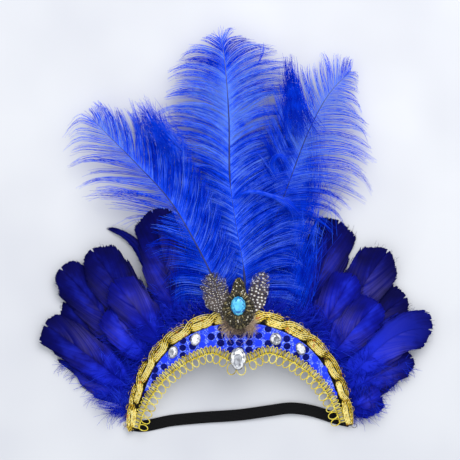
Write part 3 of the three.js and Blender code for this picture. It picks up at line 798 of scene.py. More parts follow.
@dataclass
class Strands:
    """Strands of one point count, in millimetres, with a girth and traits at each point."""

    points: Array
    girth: Array
    traits: dict[str, Array] = field(default_factory=dict)

    @classmethod
    def tapered(cls, points: Array, q: Array, girth: Pair, tint: Array) -> "Strands":
        """Gives points a girth that tapers from root to tip, and a tint.

        Args:
            points: Points, strands by points by three.
            q: Share of the length at each point.
            girth: Radius at the root and at the tip.
            tint: Tint of each strand.

        Returns:
            The strands.
        """
        shape = points.shape[:2]
        radius = np.broadcast_to(np.interp(q, [0.0, 1.0], girth), shape)
        traits = {"along": np.broadcast_to(q, shape), "tint": np.broadcast_to(tint, shape)}
        return cls(points, radius, traits)

    @classmethod
    def joined(cls, groups: list["Strands"]) -> "Strands":
        """Joins several sets of strands with the same point count and traits."""
        traits = {key: np.concatenate([g.traits[key] for g in groups]) for key in groups[0].traits}
        return cls(*(np.concatenate(part) for part in zip(*((g.points, g.girth) for g in groups))), traits)

    def swept(
        self, name: str, finish: Material, slot: str, *nodes: str, sides: int = 3, depth: float = 1.0
    ) -> None:
        """Runs a section along every strand and hands the piece to adopt.

        Args:
            name: The piece's name.
            finish: Its material.
            slot: A material slot's name, handed on to adopt.
            nodes: Solids that it stands for.
            sides: Sides of the section.
            depth: Its depth as a share of its width.
        """
        count, steps, _ = self.points.shape
        index = np.arange(count * steps).reshape(count, steps)
        edges = np.stack([index[:, :-1], index[:, 1:]], axis=-1).reshape(-1, 2)
        piece = new_piece(name, BAND.placed(self.points.reshape(-1, 3)), edges)
        set_trait(piece, "girth", self.girth.ravel() / MM)
        for key, values in self.traits.items():
            set_trait(piece, key, np.broadcast_to(values, (count, steps)).ravel())
        adopt(sweep_recipe().run(piece, {"Sides": sides, "Depth": depth, "Finish": finish}), slot, *nodes)


@dataclass
class Scatter:
    """Beads or sequins in millimetres, one row each: place, turn, half sizes and tint."""

    rows: list[tuple[float, ...]] = field(default_factory=list)

    def put(self, place: Array, turn: Matrix, size: Triple, tint: float) -> None:
        """Adds one with its middle, rotation, half sizes and tint."""
        self.rows.append((*place, *turn.to_euler(), *size, tint))

    def strewn(self, name: str, kind: Bead, sides: int, finish: Material, slot: str) -> None:
        """Sets them all out as one piece and hands it to adopt.

        Args:
            name: The piece's name.
            kind: What they are.
            sides: Sides round each.
            finish: Their material.
            slot: A material slot's name, handed on to adopt.
        """
        place, turn, size, tint = np.split(np.array(self.rows), (3, 6, 9), axis=1)
        piece = new_piece(name, BAND.placed(place))
        set_trait(piece, "turn", turn)
        set_trait(piece, "size", size / MM)
        set_trait(piece, "tint", tint[:, 0])
        adopt(bead_recipe(kind).run(piece, {"Sides": sides, "Finish": finish}), slot)


class Route:
    """A smooth line through points, measured by its length."""

    def __init__(self, points: Array, steps: int = 48) -> None:
        """Takes the points and runs a centripetal spline through them.

        Args:
            points: Points with x, y and z, in millimetres.
            steps: Samples between two points.
        """
        ends = np.concatenate([[2 * points[0] - points[1]], points, [2 * points[-1] - points[-2]]])
        line = [self.stretch(ends[i : i + 4], steps) for i in range(len(points) - 1)]
        self.line = np.concatenate([*line, [points[-1]]])
        self.far = run_along(self.line)
        self.length = float(self.far[-1])

    @staticmethod
    def stretch(knots: Array, steps: int) -> Array:
        """Samples one stretch between the middle two of four points.

        Args:
            knots: Four points in a row.
            steps: Samples to take.

        Returns:
            The samples, without the stretch's end.
        """
        gaps = np.sqrt(np.linalg.norm(np.diff(knots, axis=0), axis=1))
        a, b, c, d = knots
        first = (b - a) / gaps[0] - (c - a) / (gaps[0] + gaps[1]) + (c - b) / gaps[1]
        second = (c - b) / gaps[1] - (d - b) / (gaps[1] + gaps[2]) + (d - c) / gaps[2]
        first, second = first * gaps[1], second * gaps[1]
        t = (np.arange(steps) / steps)[:, None]
        square = -3 * b + 3 * c - 2 * first - second
        cube = 2 * b - 2 * c + first + second
        return b + first * t + square * t**2 + cube * t**3

    def at(self, share: Array) -> Array:
        """Points at shares of the length."""
        far = np.asarray(share) * self.length
        return np.stack([np.interp(far, self.far, self.line[:, k]) for k in range(3)], axis=-1)

    def heading(self, share: Array) -> Array:
        """Plan headings at shares of the length, in radians from +Y."""
        ahead, behind = self.at(np.clip(np.stack([share + 0.004, share - 0.004]), 0.0, 1.0))
        return np.arctan2(ahead[..., 0] - behind[..., 0], ahead[..., 1] - behind[..., 1])


def slab(under: Array, over: Array) -> tuple[Array, Array]:
    """Closes two grids of points into a sheet with thickness.

    Args:
        under: The lower grid, rows by columns by three.
        over: The upper grid of the same shape.

    Returns:
        The points and the outward faces.
    """
    rows, columns, _ = over.shape
    index = np.arange(rows * columns).reshape(rows, columns)
    top = np.stack([index[:-1, :-1], index[1:, :-1], index[1:, 1:], index[:-1, 1:]], axis=-1)
    top = top.reshape(-1, 4)
    rim = np.concatenate([index[:-1, 0], index[-1, :-1], index[:0:-1, -1], index[0, :0:-1]])
    ahead = np.roll(rim, -1)
    count = rows * columns
    wall = np.stack([ahead, rim, rim + count, ahead + count], axis=-1)
    faces = np.concatenate([top, top[:, ::-1] + count, wall])
    along, across = over[1, 0] - over[0, 0], over[0, 1] - over[0, 0]
    if np.cross(along, across)[2] < 0.0:
        faces = faces[:, ::-1]
    return np.concatenate([over.reshape(-1, 3), under.reshape(-1, 3)]), faces


def ring_faces(n: int, shifts: list[float]) -> list[list[int]]:
    """Closes rings of points into walls over a flat base.

    Args:
        n: Points in a ring.
        shifts: Turn of each ring in steps; a half step between two gives triangles.

    Returns:
        The outward faces, without the top.
    """
    faces = [list(range(n))]
    for level, (first, last) in enumerate(zip(shifts, shifts[1:])):
        low, high = level * n, (level + 1) * n
        for k in range(n):
            after = (k + 1) % n
            if last == first:
                faces.append([low + after, low + k, high + k, high + after])
            elif last > first:
                faces.append([low + after, low + k, high + k])
                faces.append([low + after, high + k, high + after])
            else:
                faces.append([low + k, high + k, high + after])
                faces.append([low + after, low + k, high + after])
    return faces


@dataclass
class Band:
    """Felt base, glitter cloth with its sequins, and the elastic."""

    felt_span: Pair = (-1.0, 0.97)
    felt_swell: float = 0.6
    rim: float = 0.55
    facing_radius: float = 117.0
    facing_end: float = 73.0
    facing_lower_end: float = 61.5
    facing_inset: float = 0.8
    stations: int = 121
    columns: int = 13
    dot_half: Pair = (4.25, 3.9)
    dot_pitch: Pair = (10.8, 8.4)
    dot_start: Pair = (-0.35, 99.6)
    dot_sag: float = 640.0
    dot_height: float = 0.34
    dot_inset: float = 1.0
    bright_share: float = 0.33
    elastic_width: float = 13.2
    elastic_thickness: float = 1.2
    elastic_route: tuple[Triple, ...] = (
        (-126, 3.6, 0), (-112, 2.2, 0), (-80, 8.4, 0.4), (-46, 11.9, 1), (0, 15.2, 1.6),
        (34, 20, 2.6), (58, 23, 3), (82, 20, 2), (112, 10.6, 0), (126, 7.5, 0),
    )

    def build(self) -> None:
        """Makes the felt, the cloth, the sequins and the elastic."""
        felt = self.felt()
        self.cloth()
        self.dots()
        self.elastic(felt)

    def sheet(self, crown: Array, lower: Array, base: float, thickness: float) -> tuple[Array, Array, float]:
        """Makes a bowed sheet between two edges, with softly rounded rims.

        Args:
            crown: Plan points of the upper edge.
            lower: Plan points of the lower edge.
            base: Height of its underside above the band's.
            thickness: Its thickness.

        Returns:
            Points, faces and the area of its upper face in square metres.
        """
        share = 0.5 - 0.5 * np.cos(np.pi * np.linspace(0.0, 1.0, self.columns))
        plan = crown[:, None] * (1.0 - share)[None, :, None] + lower[:, None] * share[None, :, None]
        rim = np.ones(plan.shape[:2])
        rim[:, [0, -1]] = self.rim
        rim[[0, -1]] = self.rim
        over = BAND.lifted(plan, base + thickness * rim)
        points, faces = slab(BAND.lifted(plan, base), over)
        legs = over[1:] - over[:-1]
        spans = over[:, 1:] - over[:, :-1]
        area = np.linalg.norm(np.cross(legs[:, :-1], spans[:-1]), axis=-1).sum() / MM**2
        return points, faces, float(area)

    def felt(self) -> Piece:
        """Makes the felt base.

        Returns:
            The felt.
        """
        s = np.linspace(*self.felt_span, self.stations)
        out = BAND.crown_radius + self.felt_swell * BAND.stand(s * BAND.crown_end)
        crown = compass(s * BAND.crown_end) * out[:, None]
        points, faces, area = self.sheet(crown, BAND.lower(s * BAND.lower_end), 0.0, BAND.felt)
        nap = FeltFinish("black_felt", roughness=0.95, specular=0.2, sheen=0.15)
        piece = smooth_piece("felt", points, faces, nap.build())
        adopt(piece, "felt", "felt_base")
        return piece

    def cloth(self) -> None:
        """Makes the glitter cloth that faces the felt.
        """
        s = np.linspace(-1.0, 1.0, self.stations)
        out = self.facing_radius + BAND.stand(s * self.facing_end)
        crown = compass(s * self.facing_end) * out[:, None]
        lower = BAND.lower(s * self.facing_lower_end, self.facing_inset)
        base = BAND.felt + BAND.facing_seat
        points, faces, area = self.sheet(crown, lower, base, BAND.facing_thickness)
        glitter = GlitterFinish("blue_glitter", roughness=0.45, specular=0.25)
        piece = smooth_piece("glitter_cloth", points, faces, glitter.build())
        adopt(piece, "sequin", "sequin_facing")

    def dots(self) -> None:
        """Sets the sequins in rows on the cloth."""
        rng = default_rng(11)
        found = Scatter()
        angles = np.linspace(-self.facing_lower_end, self.facing_lower_end, 721)
        edge = BAND.lower(angles, self.facing_inset)
        for row in range(-8, 5):
            for column in range(-12, 13):
                x = self.dot_start[0] + column * self.dot_pitch[0]
                y = self.dot_start[1] + row * self.dot_pitch[1] - x * x / self.dot_sag
                floor = np.interp(x, edge[:, 0], edge[:, 1])
                heading = abs(math.degrees(math.atan2(x, y)))
                roof = self.facing_radius + float(BAND.stand(heading)) - self.dot_inset
                low = y < floor + self.dot_inset
                if math.hypot(x, y) > roof or low or heading > self.facing_end - 2.5:
                    continue
                spot = np.array([x, y]) + rng.normal(0.0, 0.2, 2)
                place = BAND.lifted(spot[None], BAND.facing_top + 0.12)[0]
                lit = abs(x) > 20.0 and rng.random() < self.bright_share
                bright = 0.95 if lit else rng.uniform(0.05, 0.5)
                half = rng.uniform(0.96, 1.03)
                size = (self.dot_half[0] * half, self.dot_half[1] * half, self.dot_height)
                found.put(place, BAND.turn_at(x, 0.0), size, bright)
        finish = SequinFinish("navy_sequin", roughness=0.5, specular=0.06).build()
        found.strewn("sequin_dots", Bead.SEQUIN, 16, finish, "sequin")

    def elastic(self, felt: Piece) -> None:
        """Makes the ribbed elastic along its route.

        Args:
            felt: Not used.
        """
        route = Route(np.array(self.elastic_route, dtype=float))
        share = np.linspace(0.0, 1.0, 161)
        middle = route.at(share)
        across = right_of(route.heading(share))
        place = np.linspace(-1.0, 1.0, 9)
        plan = middle[:, None, :2] + across[:, None] * (place * self.elastic_width / 2.0)[None, :, None]
        edge = np.where(np.abs(place) > 0.99, 0.28, 0.0)[None, :] * self.elastic_thickness
        layers = [raised(plan, middle[:, None, 2] + up) for up in (edge, self.elastic_thickness - edge)]
        finish = ElasticFinish("black_elastic", roughness=0.85, specular=0.12).build()
        piece = smooth_piece("elastic", *slab(*layers), finish)
        set_trait(piece, "across", np.tile(np.tile(place, len(share)), 2))
        set_trait(piece, "along", np.tile(np.repeat(share, len(place)), 2))
        adopt(piece, "elastic", "elastic_strap")


@dataclass
class GoldTrims:
    """Braid along the crown edge and loop trim along the lower edge."""

    braid_radius: float = 125.4
    braid_ends: Pair = (-91.2, 88.0)
    braid_waves: int = 7
    braid_threads: int = 8
    braid_swing: Pair = (3.5, 4.1)
    braid_narrow: float = 0.66
    braid_half_width: float = 4.4
    braid_half_thickness: float = 1.2
    braid_crossing: float = 0.9
    braid_seat: float = 0.4
    thread_radius: float = 0.56
    picots: int = 44
    picot_wire: float = 0.3
    picot_end: float = 88.0
    picot_out: float = 7.6
    loops_side: int = 17
    loops_inner: Pair = (-19.5, 14.4)
    loops_ends: Pair = (-79.0, 75.8)
    loop_half: Pair = (4.0, 5.4)
    header_width: Pair = (10.2, 8.4)
    header_thickness: float = 1.5
    header_seat: float = 0.3
    header_pitch: float = 4.6
    header_wire: float = 0.48
    cord_radius: float = 0.3
    loop_steps: int = 19
    peak_loops: tuple[Pair, ...] = ((-9.6, 69.6), (1.2, 69.2))
    peak_half: Pair = (5.2, 6.7)
    wire_radius: float = 0.58

    def build(self) -> None:
        """Makes the braid, its picots, the header and the hanging loops."""
        gold = GoldFinish("gold_thread", roughness=0.32, metallic=0.42, specular=0.4).build()
        self.braid(gold)
        self.edge_loops(gold)
        shades = (rgb(104, 86, 14), rgb(226, 202, 44), rgb(252, 240, 126))
        wire = GoldFinish("gold_wire", 0.34, 0.3, 0.5, *shades, copper_from=0.9, glint=0.14)
        self.loop_trim(wire.build())

    def braid(self, gold: Material) -> None:
        """Makes the braid's two strands, each a bundle of threads that swings from edge to edge.

        Args:
            gold: The thread's material.
        """
        rng = default_rng(5)
        s = np.linspace(-1.0, 1.0, self.braid_waves * 44 + 1)
        degrees = np.interp(s, [-1.0, 1.0], self.braid_ends)
        narrow = 1.0 - (1.0 - self.braid_narrow) * np.abs(s) ** 1.5
        knots = np.linspace(-1.0, 1.0, self.braid_waves * 2 + 1)
        lines, tints = [], []
        for phase in (0.0, math.pi):
            loose = np.interp(s, knots, rng.normal(0.0, 0.2, len(knots)))
            wave = (s + 1.0) * self.braid_waves * math.pi + phase + loose
            up = np.sin(wave)
            inner = smoothstep(-up, -0.2, 0.7)
            swing = self.braid_swing[0] + (self.braid_swing[1] - self.braid_swing[0]) * inner
            swing = narrow * swing * np.tanh(1.6 * up) / math.tanh(1.6)
            middle = compass(degrees) * (self.braid_radius + BAND.stand(degrees) + swing)[:, None]
            way = np.gradient(middle, axis=0)
            beside = np.stack([-way[:, 1], way[:, 0]], axis=-1) / np.linalg.norm(way, axis=1)[:, None]
            half = self.braid_half_width * narrow * (1.0 - 0.16 * np.abs(up))
            # Painted shade darkens the outer lobes and the crossings, and the raised inner lobes are painted
            # a little lighter.
            lobe = np.floor(wave / math.pi).astype(int)
            lobe = lobe - lobe.min()
            gloom = rng.uniform(0.1, 0.55, lobe.max() + 1)[lobe] * (1.0 - inner)
            gloom = gloom * (0.3 + 0.7 * smoothstep(np.abs(s), 0.1, 0.4))
            crossing_shade = 0.8 * (1.0 - smoothstep(np.abs(up), 0.1, 0.7))
            crossing_shade = crossing_shade * (1.0 - smoothstep(np.cos(wave), -0.8, 0.2))
            for number, place in enumerate(np.linspace(-1.0, 1.0, self.braid_threads)):
                dome = self.braid_half_thickness * (1.0 - 0.8 * place**2)
                lift = BAND.felt + self.braid_seat + self.braid_half_thickness * 0.5 + dome
                lift = lift + self.braid_crossing * (0.7 * np.cos(wave) + 1.6 * inner) + 0.2 * (number % 2)
                lines.append(BAND.lifted(middle + beside * (half * place)[:, None], lift))
                tone = 0.98 if number % 2 else 0.4
                eye = 0.6 * float(smoothstep(np.array(-place), 0.1, 0.9)) * (1.0 - inner)
                twist = 0.2 * np.sin(np.arange(len(s)) * 2.4 + number * 1.7)
                tints.append(tone + rng.uniform(-0.1, 0.1) + 0.08 * inner + twist - gloom - crossing_shade - eye)
        girth = np.full((len(lines), len(s)), self.thread_radius)
        strands = Strands(np.array(lines), girth, {"tint": np.array(tints)})
        strands.swept("braid_threads", gold, "gold", "gold_braid", sides=5)

    def edge_loops(self, gold: Material) -> None:
        """Sets thin picot loops along the braid's outer edge.

        Args:
            gold: The thread's material.
        """
        rng = default_rng(6)
        loops = []
        for heading in np.linspace(-self.picot_end, self.picot_end, self.picots):
            narrow = 1.0 - (1.0 - self.braid_narrow) * abs(heading) / 90.0
            out = self.braid_radius + float(BAND.stand(heading)) + self.picot_out * narrow
            out = out + rng.uniform(-1.0, 0.8)
            plan = compass(heading + rng.uniform(-0.8, 0.8)) * out
            spin = -math.radians(heading) + rng.uniform(-0.5, 0.5)
            half = (rng.uniform(2.2, 3.8), rng.uniform(2.0, 3.4))
            loops.append(self.loop(plan, spin, half, BAND.felt + 0.9))
        self.wires("braid_picots", loops, self.picot_wire, rng.uniform(-0.25, 0.6, self.picots), gold)

    def loop(self, middle: Array, spin: float, half: Pair, height: float) -> Array:
        """Lays one closed loop of wire on the band.

        Args:
            middle: Plan place of its middle.
            spin: Turn in its own plane, in radians.
            half: Its half width and half height.
            height: Height above the band's underside.

        Returns:
            The loop's points, the last on the first.
        """
        angle = np.linspace(0.0, math.tau, self.loop_steps)
        x, y = np.sin(angle) * half[0], np.cos(angle) * half[1]
        cos, sin = math.cos(spin), math.sin(spin)
        turned = np.stack([x * cos - y * sin, x * sin + y * cos], axis=-1)
        return BAND.lifted(middle + turned, height)

    @staticmethod
    def wires(name: str, loops: list[Array], girth: float, tints: Array, gold: Material, *nodes: str) -> None:
        """Makes one piece of many loops.

        Args:
            name: The piece's name.
            loops: The loops' points.
            girth: Radius of the wire.
            tints: One tint for each loop.
            gold: Their material.
            nodes: Solids that the piece stands for.
        """
        points = np.array(loops)
        shape = points.shape[:2]
        traits = {"tint": np.broadcast_to(tints[:, None], shape)}
        Strands(points, np.full(shape, girth), traits).swept(name, gold, "gold", *nodes, sides=5)

    def loop_trim(self, gold: Material) -> None:
        """Makes the header's net, its edge cords, its ovals and the hanging loops.

        Args:
            gold: The wire's material.
        """
        route = Route(raised(BAND.lower(np.linspace(*self.loops_ends, 601)), 0.0), 2)
        height = BAND.facing_top + self.header_seat + self.header_thickness / 2.0
        share = np.linspace(0.0, 1.0, 361)
        line = BAND.lifted(self.off_route(route, share, 0.3), height - 0.55)
        net = Strands(line[None], (self.width_at(share) / 2.0 - 1.2)[None])
        mesh = FeltFinish("header_net", 0.9, 0.0, 0.1, rgb(112, 110, 110), rgb(202, 200, 196))
        net.swept("loop_net", mesh.build(), "gold", sides=4, depth=0.08)
        cords = []
        for beat in (0.0, math.pi):
            wave = share * 150.0 * math.pi + beat
            out = self.width_at(share) / 2.0 - 1.1 + 0.45 * np.sin(wave)
            cords.append(BAND.lifted(self.off_route(route, share, out), height + 0.35 * np.cos(wave)))
        self.wires("loop_cords", cords, self.cord_radius, np.array([0.45, 0.7]), gold)
        self.header(route, height, gold)
        self.hanging(route, height, gold)

    def header(self, route: Route, height: float, gold: Material) -> None:
        """Makes the row of upright ovals along the header.

        Args:
            route: The lower edge's line.
            height: Height above the band's underside.
            gold: The wire's material.
        """
        rng = default_rng(7)
        count = int(route.length / self.header_pitch)
        loops = []
        for spot in (np.arange(count) + 0.5) / count:
            plan = self.off_route(route, np.array(spot), -0.3 + rng.uniform(-0.25, 0.25))
            half = (rng.uniform(1.55, 1.8), float(self.width_at(spot)) / 2.0 - 0.2)
            spin = self.spin(route, spot) + rng.normal(0.0, 0.07)
            loops.append(self.loop(plan, spin, half, height + 0.1))
        self.wires("loop_header", loops, self.header_wire, rng.uniform(0.3, 0.85, count), gold)

    def hanging(self, route: Route, height: float, gold: Material) -> None:
        """Makes the loops that hang into the head opening, evenly along their own line.

        Args:
            route: The lower edge's line.
            height: Height above the band's underside.
            gold: The wire's material.
        """
        rng = default_rng(8)
        fine = np.linspace(0.0, 1.0, 901)
        out = self.width_at(fine) / 2.0 + self.loop_half[1] - 1.6
        line = self.off_route(route, fine, out)
        far = run_along(line)
        loops = []
        for side in Side:
            inner = float(np.interp(self.loops_inner[side is Side.RIGHT], line[:, 0], far))
            outer = far[-1] * (0.008 if side is Side.LEFT else 0.992)
            for spot in np.interp(np.linspace(inner, outer, self.loops_side), far, fine):
                large = rng.uniform(0.92, 1.06)
                half = (self.loop_half[0] * large * rng.uniform(0.86, 1.02), self.loop_half[1] * large)
                away = np.interp(spot, fine, out) + rng.normal(0.0, 0.3)
                plan = self.off_route(route, np.array(spot), away)
                spin = self.spin(route, spot) + rng.normal(0.0, 0.12)
                loops.append(self.loop(plan, spin, half, height - 0.2))
        for place in self.peak_loops:
            spin = 0.12 * math.copysign(1.0, place[0])
            loops.append(self.loop(np.array(place), spin, self.peak_half, height - 0.2))
        tints = rng.uniform(0.4, 0.85, len(loops))
        self.wires("hanging_loops", loops, self.wire_radius, tints, gold, "loop_trim")

    @staticmethod
    def spin(route: Route, spot: float) -> float:
        """Turn that stands a loop square to the header's line, in radians."""
        return math.pi / 2.0 - float(route.heading(np.array(spot)))

    def width_at(self, share: Array | float) -> Array | float:
        """Width of the header at a share of its length."""
        away = np.abs(np.asarray(share) * 2.0 - 1.0)
        return self.header_width[0] + (self.header_width[1] - self.header_width[0]) * away

    @staticmethod
    def off_route(route: Route, share: Array, out: Array | float) -> Array:
        """Plan points beside the header's line, positive towards the head opening."""
        return route.at(share)[..., :2] + right_of(route.heading(share)) * np.asarray(out)[..., None]


@dataclass(frozen=True)
class StoneRow:
    """One cut stone: place, half sizes and turn, in millimetres and degrees."""

    node: str
    place: Pair
    half: Pair
    depth: float
    turn: float
    point: float
    base: float


@dataclass
class Stones:
    """Clear stones on the cloth, the pear in the peak and the turquoise in the medallion."""

    sides: int = 12
    rows: tuple[Triple, ...] = (
        (0.95, 0.0, 0.0), (1.0, 0.2, 0.0), (0.93, 0.48, 0.5), (0.77, 0.78, 0.0), (0.54, 1.0, 0.5),
    )
    stones: tuple[StoneRow, ...] = (
        StoneRow("crystal_left_outer", (-76.4, 88.0), (5.2, 7.0), 4.5, -24.0, 0.0, 4.45),
        StoneRow("crystal_left_inner", (-50.5, 103.0), (5.4, 7.0), 4.5, -22.0, 0.0, 4.45),
        StoneRow("crystal_right_inner", (40.5, 103.5), (6.5, 6.5), 4.5, 0.0, 0.0, 4.45),
        StoneRow("crystal_right_outer", (69.0, 92.0), (5.2, 7.0), 4.5, 30.0, 0.0, 4.45),
        StoneRow("crystal_drop", (-2.2, 81.0), (9.0, 12.4), 6.0, 0.0, 0.2, 6.25),
        StoneRow("turquoise_stone", (-2.2, 141.5), (8.6, 11.0), 6.5, 0.0, 0.0, 0.0),
    )
    turquoise_base: float = 52.1
    rim_radius: float = 0.4

    def build(self) -> None:
        """Makes every stone and its metal rim."""
        clear = StoneFinish("clear_stone", roughness=0.08, metallic=0.15, specular=0.9, coat=1.0).build()
        shades = (rgb(0, 84, 166), rgb(4, 148, 212), rgb(96, 206, 242))
        blue = StoneFinish("turquoise_stone", 0.1, 0.1, 0.6, *shades, coat=0.3).build()
        rims = []
        for number, row in enumerate(self.stones):
            if row.node == "turquoise_stone":
                self.stone(row, number, blue, "turquoise")
            else:
                self.stone(row, number, clear, "crystal")
                rims.append(self.outline(row, 1.03, 0.7))
        points = np.array(rims)
        shape = points.shape[:2]
        strands = Strands(points, np.full(shape, self.rim_radius), {"facet": np.full(shape, 0.25)})
        silver = StoneFinish("silver_rim", 0.3, 0.6, 0.6, rgb(84, 86, 94), rgb(156, 158, 166))
        strands.swept("stone_rims", silver.build(), "crystal", sides=5)

    def ring(self, row: StoneRow, scale: float, shift: float, count: int) -> Array:
        """Plan ring of a stone at a scale.

        Args:
            row: The stone.
            scale: Share of its half sizes.
            shift: Turn of the ring in steps.
            count: Points round it.

        Returns:
            The ring's points about its middle.
        """
        angle = (np.arange(count) + shift) / count * math.tau
        narrow = 1.0 - row.point * np.maximum(0.0, -np.cos(angle)) ** 1.5
        plan = np.stack([np.sin(angle) * row.half[0] * narrow, np.cos(angle) * row.half[1]], axis=-1)
        return plan * scale

    def settle(self, row: StoneRow, local: Array) -> Array:
        """Turns a stone's own points and sets them on what carries it.

        Args:
            row: The stone.
            local: Points about the middle of its back.

        Returns:
            Points in millimetres from the middle of the chord.
        """
        x, y = row.place
        if row.base == 0.0:
            return local + np.array([x, y, self.turquoise_base])
        lean = float(BAND.lean(x))
        turned = local @ np.array(BAND.turn_at(x, math.radians(row.turn))).T
        return turned + np.array([x, y, BAND.rise(x) + row.base / math.cos(lean)])

    def outline(self, row: StoneRow, scale: float, height: float) -> Array:
        """Closed line round a stone for its rim, at a share of its half sizes."""
        ring = self.ring(row, scale, 0.0, 32)
        return self.settle(row, raised(np.concatenate([ring, ring[:2]]), height))

    def stone(self, row: StoneRow, number: int, finish: Material, slot: str) -> None:
        """Makes one faceted stone.

        Args:
            row: The stone.
            number: Its number, which seeds the painted reflections of its facets.
            finish: Its material.
            slot: A material slot's name, handed on to adopt.
        """
        rng = default_rng(40 + number)
        n = self.sides
        rings = [raised(self.ring(row, scale, turn, n), up * row.depth) for scale, up, turn in self.rows]
        faces = ring_faces(n, [shift for _, _, shift in self.rows])
        faces.append(list(range((len(self.rows) - 1) * n, len(self.rows) * n))[::-1])
        name = row.node.replace("crystal", "clear").replace("turquoise_stone", "turquoise_cut")
        piece = new_piece(name, BAND.placed(self.settle(row, np.concatenate(rings))), faces=faces)
        piece.data.materials.append(finish)
        # Each facet gets a random tone that paints its reflection.
        set_trait(piece, "facet", rng.uniform(0.0, 1.0, len(faces)), "FACE")
        adopt(piece, slot, row.node)


@dataclass(frozen=True)
class BladeRow:
    """One feather's line: root, sizes in millimetres and angles in degrees from +Y."""

    node: str
    root: Triple
    length: float
    heading: float
    bend: float
    width: float
    middle: float
    tip: float
    roll: float = 0.0
    level: float = 0.38
    shade: float = 0.0
    blunt: float = 2.6
    point: float = 0.0


class FeatherLine:
    """Spine, outline and heights of one feather."""

    def __init__(self, row: BladeRow) -> None:
        """Works out the spine of a row.

        Args:
            row: The feather.
        """
        self.row = row
        self.grid = np.linspace(0.0, 1.0, 401)
        turn = np.radians(row.heading + row.bend * self.grid**3)
        way = ahead_of(turn)
        step = (way[1:] + way[:-1]) / 2.0 * row.length / 400.0
        self.turn = turn
        self.plan = np.array(row.root[:2]) + np.concatenate([[[0.0, 0.0]], np.cumsum(step, axis=0)])

    def spine(self, share: Array) -> Array:
        """Plan points of the shaft."""
        return np.stack([np.interp(share, self.grid, self.plan[:, k]) for k in range(2)], axis=-1)

    def across(self, share: Array) -> Array:
        """Plan directions to the right of the shaft."""
        return right_of(np.interp(share, self.grid, self.turn))

    def half(self, share: Array) -> Array:
        """Half width of the vane.

        Args:
            share: Shares of the length, 0 to 1.

        Returns:
            Half widths in millimetres.
        """
        past = np.maximum(0.0, share - 0.78) / 0.22
        full = smoothstep(share, 0.13, 0.44) * np.sqrt(np.maximum(0.0, 1.0 - past**self.row.blunt))
        full = full * (1.0 - self.row.point * smoothstep(share, 0.4, 0.95))
        return 1.3 + (self.row.width / 2.0 - 1.3) * full

    def height(self, share: Array) -> Array:
        """Height of the shaft.

        Args:
            share: Shares of the length, 0 to 1.

        Returns:
            Heights in millimetres.
        """
        row = self.row
        ease = smoothstep(share, min(0.3, 10.0 / row.length), row.level) if row.level > 0.31 else 1.0
        up = row.root[2] + (row.middle - row.root[2]) * ease
        past = np.maximum(0.0, share - row.level) / (1.0 - row.level)
        return up + (row.tip - row.middle) * past**1.8

    def vane(self, share: Array, across: Array) -> Array:
        """Points on the cambered vane.

        Args:
            share: Shares of the length.
            across: Signed distance from the shaft in millimetres, right positive.

        Returns:
            Points with x, y and z.
        """
        plan = self.spine(share) + self.across(share) * across[..., None]
        drop = 2.4 * (across / (self.row.width / 2.0)) ** 2
        lean = math.sin(math.radians(self.row.roll)) * across
        return raised(plan, self.height(share) - drop + lean)


@dataclass(frozen=True)
class VaneStyle:
    """How a vane's barbs lie."""

    spacing: float = 0.9
    sweep: float = 3.3
    steps: int = 8
    bare: float = 0.13
    splits: int = 0
    split_width: float = 1.5
    ragged: float = 0.05
    strip: float = 0.3
    wave: float = 2.2
    streak: float = 0.06
    thickness: float = 0.35
    loose: float = 0.0


